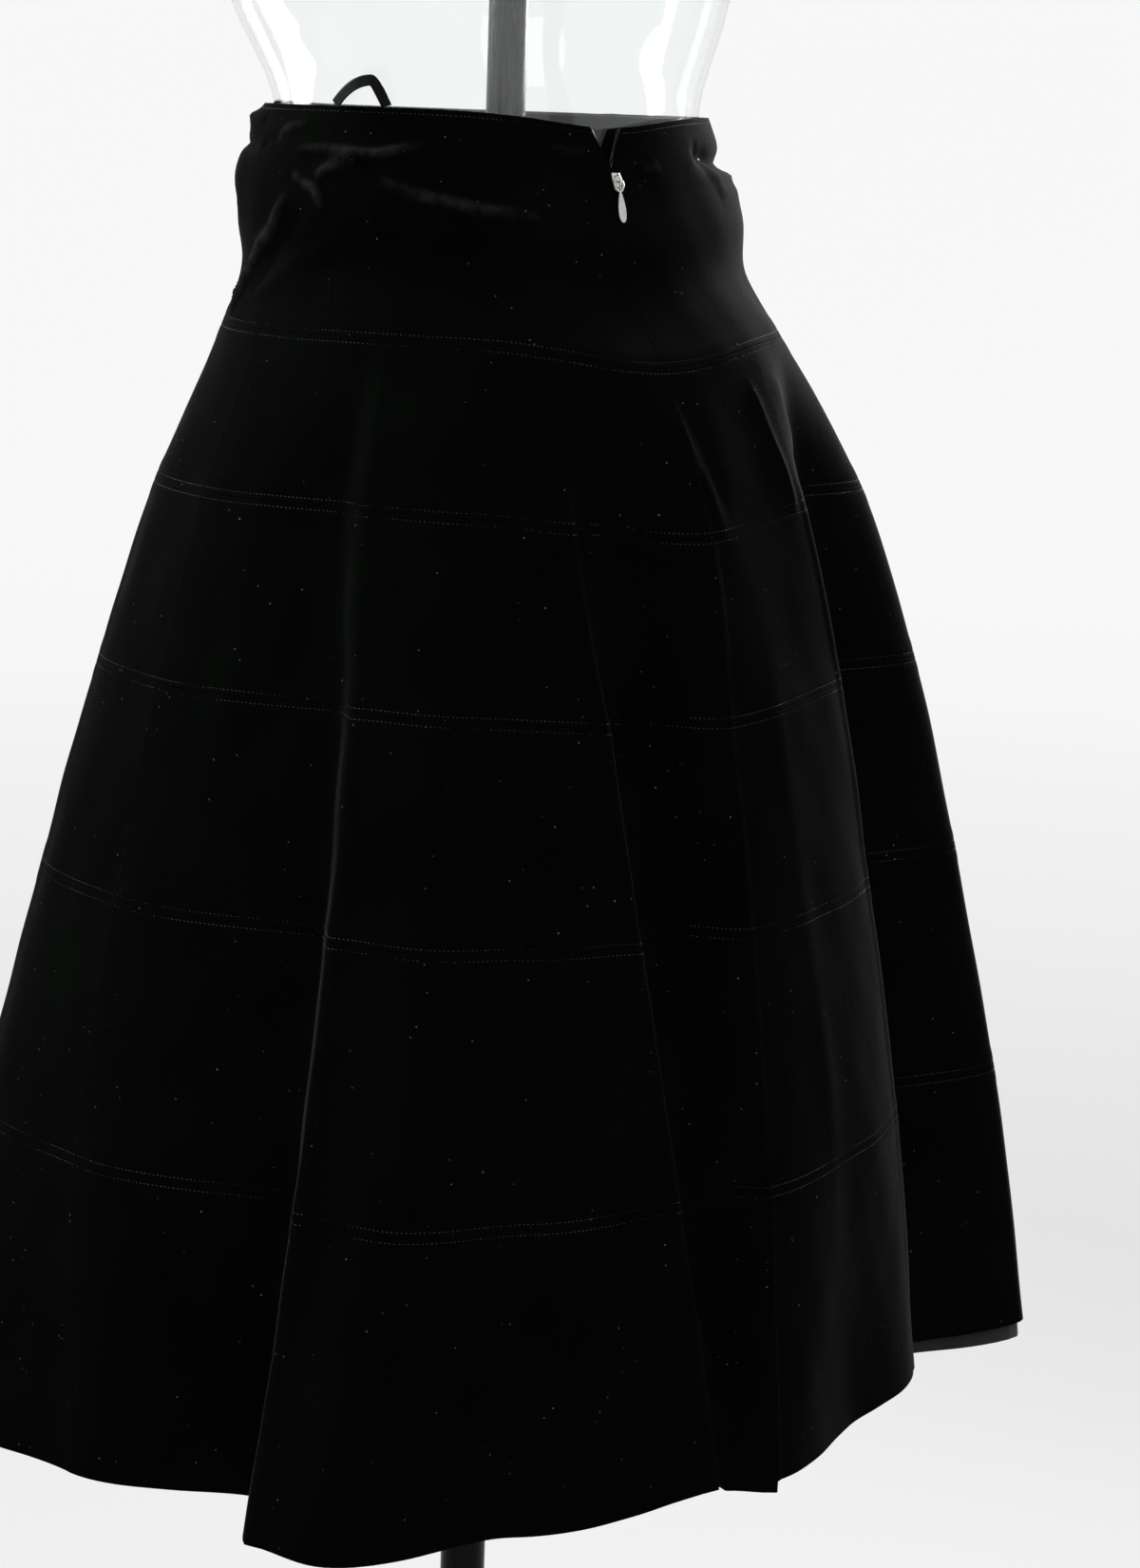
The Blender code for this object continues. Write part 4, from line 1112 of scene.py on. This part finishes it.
class SKIRT_OT_velvet_bands(bpy.types.Operator):
    """Build the five flared bands, three velvet panels each."""

    bl_idname = "skirt.velvet_bands"
    bl_label = "Velvet bands"

    def execute(self, context):
        velvet = (velvet_insets, finish_of("black_velvet", velvet_finish), "velvet")
        for number, (top, bottom) in enumerate(band_levels(), start=1):
            rows = panel_rows(top, bottom, CLOTH_ROW)
            for key, start, end in band_panels():
                lower = HEM_DROOP if (number, key) == (len(SEAM_NAMES) - 1, "back_left") else 0.0
                cloth_panel(
                    f"velvet_band_{number}_{key}", (start, end), rows, velvet,
                    f"band_{number}_{key}", droop=lower,
                )
        return {"FINISHED"}


def lining_grid(places, drops):
    """Outer face of the hanging lining, carried straight on below the velvet's hem."""
    depth, wall = lining_insets(places, drops)
    depth = depth + LINING_HANG
    held = np.minimum(drops, HEM)
    points, normals = smooth_point(places, held), smooth_normal(places, held)
    height = np.minimum(cloth_relief(places, held, points), 0.0)
    upper = np.full(places.shape, HEM - LINING_HEM_STEP)
    above = smooth_point(places, upper) - smooth_normal(places, upper) * depth[..., None]
    points = points + normals * (height - depth)[..., None]
    over = np.clip(drops - HEM, 0.0, None) / LINING_HEM_STEP
    points = points + (points - above) * over[..., None]
    return points, normals, wall


class SKIRT_OT_lining(bpy.types.Operator):
    """Build the satin lining of the yoke and of the skirt."""

    bl_idname = "skirt.lining"
    bl_label = "Satin lining"

    def execute(self, context):
        satin = finish_of("black_satin", satin_finish)
        drops = panel_rows(0.0, level_drop("yoke_seam") - 0.5 * SEWN_GAP, LINING_ROW)
        for key, start, end, side in yoke_panels():
            cloth_panel(
                f"satin_yoke_lining_{key}", (start, end), drops, (lining_insets, satin, "satin_lining"),
                f"yoke_lining_{key}", side, YOKE_LINING_COLUMN,
            )
        left, _, right = long_seams()
        top = level_drop("yoke_seam") + 0.5 * SEWN_GAP
        for key, above, start, end in (
            ("back", "back_left", left, right), ("front", "front", right, left + len(FOLDS)),
        ):
            places = panel_places(start + LINING_END_STEP, end - LINING_END_STEP, LINING_COLUMN)
            angle = fold_place(places, np.full(places.shape, HEM))[0]
            low = bell((angle - LINING_LOW_ANGLE) / LINING_LOW_SPREAD)
            hem = HEM - LINING_SHORTER + LINING_LOWER * low
            steps = math.ceil((HEM - top) / LINING_ROW)
            share = np.linspace(0, 1, steps + 1)[:, None]
            rows = top + (hem[None] - top) * share
            grid = np.broadcast_to(places, rows.shape)
            outer, normals, wall = lining_grid(grid, rows)
            inner = outer - normals * wall
            name = f"satin_skirt_lining_{key}"
            piece = add_piece(name, shell_mesh(name, outer, inner), satin)
            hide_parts(f"lining_skirt_{key}")
        return {"FINISHED"}


class SKIRT_OT_zip(bpy.types.Operator):
    """Build the zip's tapes and the coils of its open top, and finish its slider and pull."""

    bl_idname = "skirt.zip"
    bl_label = "Zip"

    def execute(self, context):
        sizes = context.scene.skirt_sizes
        tape = finish_of("zip_tape", tape_finish)
        back = float(FOLD_NAMES.index("centre_back_seam"))
        bottom = band_levels()[0][1] - TAPE_SHORTER
        drops = np.concatenate([
            np.linspace(TAPE_TOP, TAPE_FINE_END, TAPE_FINE_ROWS),
            np.linspace(TAPE_FINE_END, bottom, TAPE_ROWS)[1:],
        ])
        depth = sizes.velvet_wall + sizes.seam_gap
        for key, side in (("left", -1), ("right", 1)):
            open_share = np.clip(1 - drops / OPENING_DEPTH, 0, None)[:, None]
            inner_edge = 0.5 * TAPE_CENTRE_GAP - TAPE_SHOWN[key] * open_share
            across = np.linspace(0, 1, TAPE_COLUMNS)[None]
            slides = side * (inner_edge + (TAPE_WIDTHS[key] - 0.5 * TAPE_CENTRE_GAP) * across)
            if side < 0:
                slides = slides[:, ::-1]
            rows = np.broadcast_to(drops[:, None], slides.shape)
            places = place_beside(back, rows, slides)
            middle, normals = cloth_point(places, rows, 0.0, side)
            outer = middle - normals * depth
            inner = middle - normals * (depth + TAPE_WALL)
            name = f"woven_zip_tape_{key}"
            piece = add_piece(name, shell_mesh(name, outer, inner), tape)
            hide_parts(f"zip_tape_{key}")
        self.add_coils(sizes, back, depth)
        metal = finish_of("zip_metal", metal_finish)
        for node in ("zip_slider", "zip_pull"):
            finish_node(node, metal)
        return {"FINISHED"}

    def add_coils(self, sizes, back, depth):
        """Coil loops along both edges of the open top."""
        starts, ends, outs = [], [], []
        marks = np.arange(COIL_TOP, SLIDER_DROP - COIL_END, COIL_PITCH)
        for side in (-1, 1):
            open_share = np.clip(1 - marks / OPENING_DEPTH, 0, None)
            shown = TAPE_SHOWN["left" if side < 0 else "right"]
            edge = side * (0.5 * TAPE_CENTRE_GAP - shown * open_share)
            places, deep = np.full(marks.shape, back), depth + 0.5 * TAPE_WALL
            first, normals = cloth_point(places, marks, edge + side * COIL_OUTER, side, deep)
            starts.append(first)
            ends.append(cloth_point(places, marks, edge - side * COIL_INNER, side, deep)[0])
            outs.append(normals)
        mesh = stitch_mesh("zip_coils", *map(np.concatenate, (starts, ends, outs)), COIL_RADIUS)
        add_piece("zip_coils", mesh, finish_of("sewing_thread", thread_finish))


class SKIRT_OT_hanger_loop(bpy.types.Operator):
    """Build the satin ribbon loop at the wearer's left."""

    bl_idname = "skirt.hanger_loop"
    bl_label = "Hanger loop"

    def execute(self, context):
        start, end = (float(place_at_angle(angle, 0.0)) for angle in LOOP_ANGLES)
        share = np.linspace(0, 1, LOOP_STEPS + 1)
        places = start + (end - start) * share
        rise = LOOP_LIFT + LOOP_RISE * np.sin(math.pi * share)
        base = smooth_point(places, np.zeros(places.shape))
        out = unit(base * np.array([1.0, 1.0, 0.0]) - np.array([0.0, LEVELS[0][4], 0.0]))
        centre = base + out * (LOOP_LEAN * rise - LOOP_INSET)[:, None]
        centre[:, 2] += rise
        width = unit(np.cross(unit(np.gradient(centre, axis=0)), out))
        across = np.linspace(0.5, -0.5, RIBBON_COLUMNS)[None, :, None]
        wave = np.sin(3 * math.pi * share)[:, None, None]
        curl = RIBBON_CURL * wave * np.sign(across) * (2 * across) ** 2
        middle = centre[:, None] + width[:, None] * (RIBBON_WIDTH * across) + out[:, None] * curl
        outer = middle + out[:, None] * RIBBON_HALF_WALL
        inner = middle - out[:, None] * RIBBON_HALF_WALL
        satin = finish_of("black_satin", satin_finish)
        name = "ribbon_hanger_loop"
        piece = add_piece(name, shell_mesh(name, outer, inner), satin)
        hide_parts("hanger_loop")
        return {"FINISHED"}


class SKIRT_OT_topstitching(bpy.types.Operator):
    """Sew two rows along each seam of the bands and one row under the waist edge."""

    bl_idname = "skirt.topstitching"
    bl_label = "Topstitching"

    def execute(self, context):
        offset = context.scene.skirt_sizes.stitch_offset
        left = long_seams()[0]
        turn = np.linspace(left + ROW_END, left + len(FOLDS) - ROW_END, SEAM_SAMPLES)
        for name in SEAM_NAMES[:-1]:
            rows = [(turn, level_drop(name) + side * offset, 0.0, 0) for side in (-1, 1)]
            add_stitches(f"topstitch_{name}", rows)
        edge_rows = []
        for _, start, end, side in yoke_panels():
            places = np.linspace(start + WAIST_ROW_END, end - WAIST_ROW_END, WAIST_SAMPLES)
            edge_rows.append((places, WAIST_STITCH_DROP, 0.0, side))
        add_stitches("topstitch_waist_edge", edge_rows)
        return {"FINISHED"}


class SKIRT_OT_dress_form(bpy.types.Operator):
    """Build the clear form as one tube and finish the stand."""

    bl_idname = "skirt.dress_form"
    bl_label = "Dress form"

    def execute(self, context):
        clear = finish_of("clear_plastic", clear_finish)
        heights = column(FORM_RINGS, FORM_COLUMNS, "height")
        angles = np.arange(0.0, 360.0, FORM_COLUMN_ANGLE)
        rows = np.arange(heights[-1], heights[0] - FORM_ROW / 2, -FORM_ROW)
        rows = np.append(rows[rows > heights[0] + FORM_ROW / 4], heights[0])
        grid, tall = np.meshgrid(angles, rows)
        half_width, half_depth, shift = (
            ease(tall, heights, column(FORM_RINGS, FORM_COLUMNS, name))
            for name in ("half_width", "half_depth", "shift")
        )
        shown = smooth_step(tall, *FORM_SEAM_START)
        spine = -FORM_SPINE_DEPTH * bell((grid - FORM_SPINE_ANGLE) / FORM_SPINE_SPREAD)
        from_side = np.abs((grid + 90.0) % 180.0 - 90.0)
        lip = FORM_LIP_RISE * bell(from_side / FORM_LIP_SPREAD)
        reach = ring_radius(grid, half_width, half_depth) + (spine + lip) * shown
        turn = np.radians(grid)
        faces = []
        for inset in (0.0, FORM_WALL):
            radius = reach - inset
            faces.append(np.stack([
                radius * np.cos(turn), radius * np.sin(turn) + shift, waist_level() + tall,
            ], -1))
        piece = add_piece("clear_form", shell_mesh("clear_form", *faces, tube=True), clear)
        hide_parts("form_front", "form_back")
        dark = finish_of("stand_paint", stand_finish)
        bare = finish_of("stand_steel", steel_finish)
        for node, material in (
            ("stand_base", dark), ("stand_pole_lower", dark), ("stand_collar", dark),
            ("stand_pole_upper", bare), ("form_neck_cap", clear),
        ):
            finish_node(node, material)
            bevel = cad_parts[node].modifiers.new("edges", "BEVEL")
            bevel.width = STAND_EDGE
            bevel.segments = 2
            bevel.limit_method = "ANGLE"
        return {"FINISHED"}


# Name, azimuth from the camera's, distance, height, width, length and power
LIGHTS = (
    ("side_light", 141.0, 1.1, 1.38, 0.4, 0.6, 33.0),
    ("left_light", -104.0, 1.3, 1.75, 0.5, 1.0, 32.0),
    ("top_light", 10.0, 0.9, 2.9, 1.2, 1.2, 12.0),
    ("back_light", 180.0, 3.2, 2.8, 2.4, 1.6, 20.0),
)
LIGHT_AIM_HEIGHT = 1.0
BACKDROP_STEPS = 12
BACKDROP_SIDES = 96


class SKIRT_OT_studio(bpy.types.Operator):
    """Build the floor, the lights and the camera."""

    bl_idname = "skirt.studio"
    bl_label = "Studio"

    def execute(self, context):
        stage = context.scene.skirt_stage
        self.add_floor()
        self.add_world(context)
        self.add_lights(stage)
        self.add_camera(context, stage)
        return {"FINISHED"}

    def add_floor(self):
        """A wide floor that turns up into a round backdrop."""
        profile = [(FLOOR_RADIUS, 0.0)]
        for k in range(1, BACKDROP_STEPS + 1):
            turn = 0.5 * math.pi * k / BACKDROP_STEPS
            out, up = BACKDROP_CURVE * math.sin(turn), BACKDROP_CURVE * (1 - math.cos(turn))
            profile.append((FLOOR_RADIUS + out, up))
        profile.append((FLOOR_RADIUS + BACKDROP_CURVE, BACKDROP_HEIGHT))
        sides = BACKDROP_SIDES
        mesh = bpy.data.meshes.new("studio_floor")
        bm = bmesh.new()
        rings = []
        for radius, height in profile:
            rings.append([
                bm.verts.new((radius * math.cos(a), radius * math.sin(a), height))
                for a in (2 * math.pi * k / sides for k in range(sides))
            ])
        bm.faces.new(rings[0])
        for lower, upper in zip(rings, rings[1:]):
            for k in range(sides):
                bm.faces.new((lower[(k + 1) % sides], lower[k], upper[k], upper[(k + 1) % sides]))
        bm.normal_update()
        bm.to_mesh(mesh)
        bm.free()
        mesh.materials.append(finish_of("studio_floor", floor_finish))
        floor = bpy.data.objects.new("studio_floor", mesh)
        bpy.context.scene.collection.objects.link(floor)

    def add_world(self, context):
        """Even pale light from all round."""
        world = bpy.data.worlds.new("studio_light")
        world.use_nodes = True
        sky = world.node_tree.nodes["Background"].inputs
        sky["Color"].default_value = (0.98, 0.99, 1.0, 1.0)
        sky["Strength"].default_value = 1.0
        context.scene.world = world

    def add_lights(self, stage):
        """Large soft lights round the skirt."""
        for name, turn, distance, height, width, tall, power in LIGHTS:
            azimuth = stage.azimuth + math.radians(turn)
            light = bpy.data.lights.new(name, "AREA")
            light.shape = "RECTANGLE"
            light.size = width
            light.size_y = tall
            light.energy = power * stage.light_power
            lamp = bpy.data.objects.new(name, light)
            lamp.location = (distance * math.sin(azimuth), -distance * math.cos(azimuth), height)
            aim = Vector((0.0, 0.0, LIGHT_AIM_HEIGHT)) - lamp.location
            lamp.rotation_mode = "QUATERNION"
            lamp.rotation_quaternion = aim.to_track_quat("-Z", "Y")
            bpy.context.scene.collection.objects.link(lamp)

    def add_camera(self, context, stage):
        """The camera, placed round the pole and turned as the photograph was taken."""
        turn = stage.azimuth
        height = context.scene.skirt_sizes.waist_height + stage.camera_rise
        away = (stage.distance * math.sin(turn), -stage.distance * math.cos(turn), height)
        data = bpy.data.cameras.new("photo_camera")
        data.sensor_fit = "AUTO"
        data.sensor_width = 36.0
        data.lens = stage.lens
        camera = bpy.data.objects.new("photo_camera", data)
        camera.matrix_world = (
            Matrix.Translation(away) @ Matrix.Rotation(turn - stage.yaw, 4, "Z")
            @ Matrix.Rotation(0.5 * math.pi - stage.pitch, 4, "X") @ Matrix.Rotation(stage.roll, 4, "Z")
        )
        context.scene.collection.objects.link(camera)
        context.scene.camera = camera
        context.scene.view_settings.view_transform = "Standard"


class VIEW3D_PT_skirt(bpy.types.Panel):
    """Sizes, colours and building steps of the skirt."""

    bl_idname = "VIEW3D_PT_skirt"
    bl_label = "Velvet skirt"
    bl_space_type = "VIEW_3D"
    bl_region_type = "UI"
    bl_category = "Skirt"

    def draw(self, context):
        layout = self.layout
        for title, group in (
            ("Sizes", context.scene.skirt_sizes),
            ("Colours", context.scene.skirt_colours),
            ("Studio", context.scene.skirt_stage),
        ):
            box = layout.box()
            box.label(text=title)
            for key in group.bl_rna.properties.keys():
                if key not in {"rna_type", "name"}:
                    box.prop(group, key)
        steps = layout.column(align=True)
        for operator in OPERATORS:
            steps.operator(operator.bl_idname)


OPERATORS = (
    SKIRT_OT_studio,
    SKIRT_OT_velvet_yoke,
    SKIRT_OT_velvet_bands,
    SKIRT_OT_lining,
    SKIRT_OT_zip,
    SKIRT_OT_hanger_loop,
    SKIRT_OT_topstitching,
    SKIRT_OT_dress_form,
)
CLASSES = (SkirtSizes, SkirtColours, SkirtStage, *OPERATORS, VIEW3D_PT_skirt)


def register():
    """Make the settings, operators and panel known to Blender."""
    for item in CLASSES:
        bpy.utils.register_class(item)
    bpy.types.Scene.skirt_sizes = PointerProperty(type=SkirtSizes)
    bpy.types.Scene.skirt_colours = PointerProperty(type=SkirtColours)
    bpy.types.Scene.skirt_stage = PointerProperty(type=SkirtStage)


def unregister():
    """Take them out again."""
    del bpy.types.Scene.skirt_stage
    del bpy.types.Scene.skirt_colours
    del bpy.types.Scene.skirt_sizes
    for item in reversed(CLASSES):
        bpy.utils.unregister_class(item)


def main():
    """Build every piece in order."""
    register()
    for operator in OPERATORS:
        group, name = operator.bl_idname.split(".")
        if getattr(getattr(bpy.ops, group), name)() != {"FINISHED"}:
            raise RuntimeError(f"{operator.bl_label} could not be built")


if __name__ == "__main__":
    main()
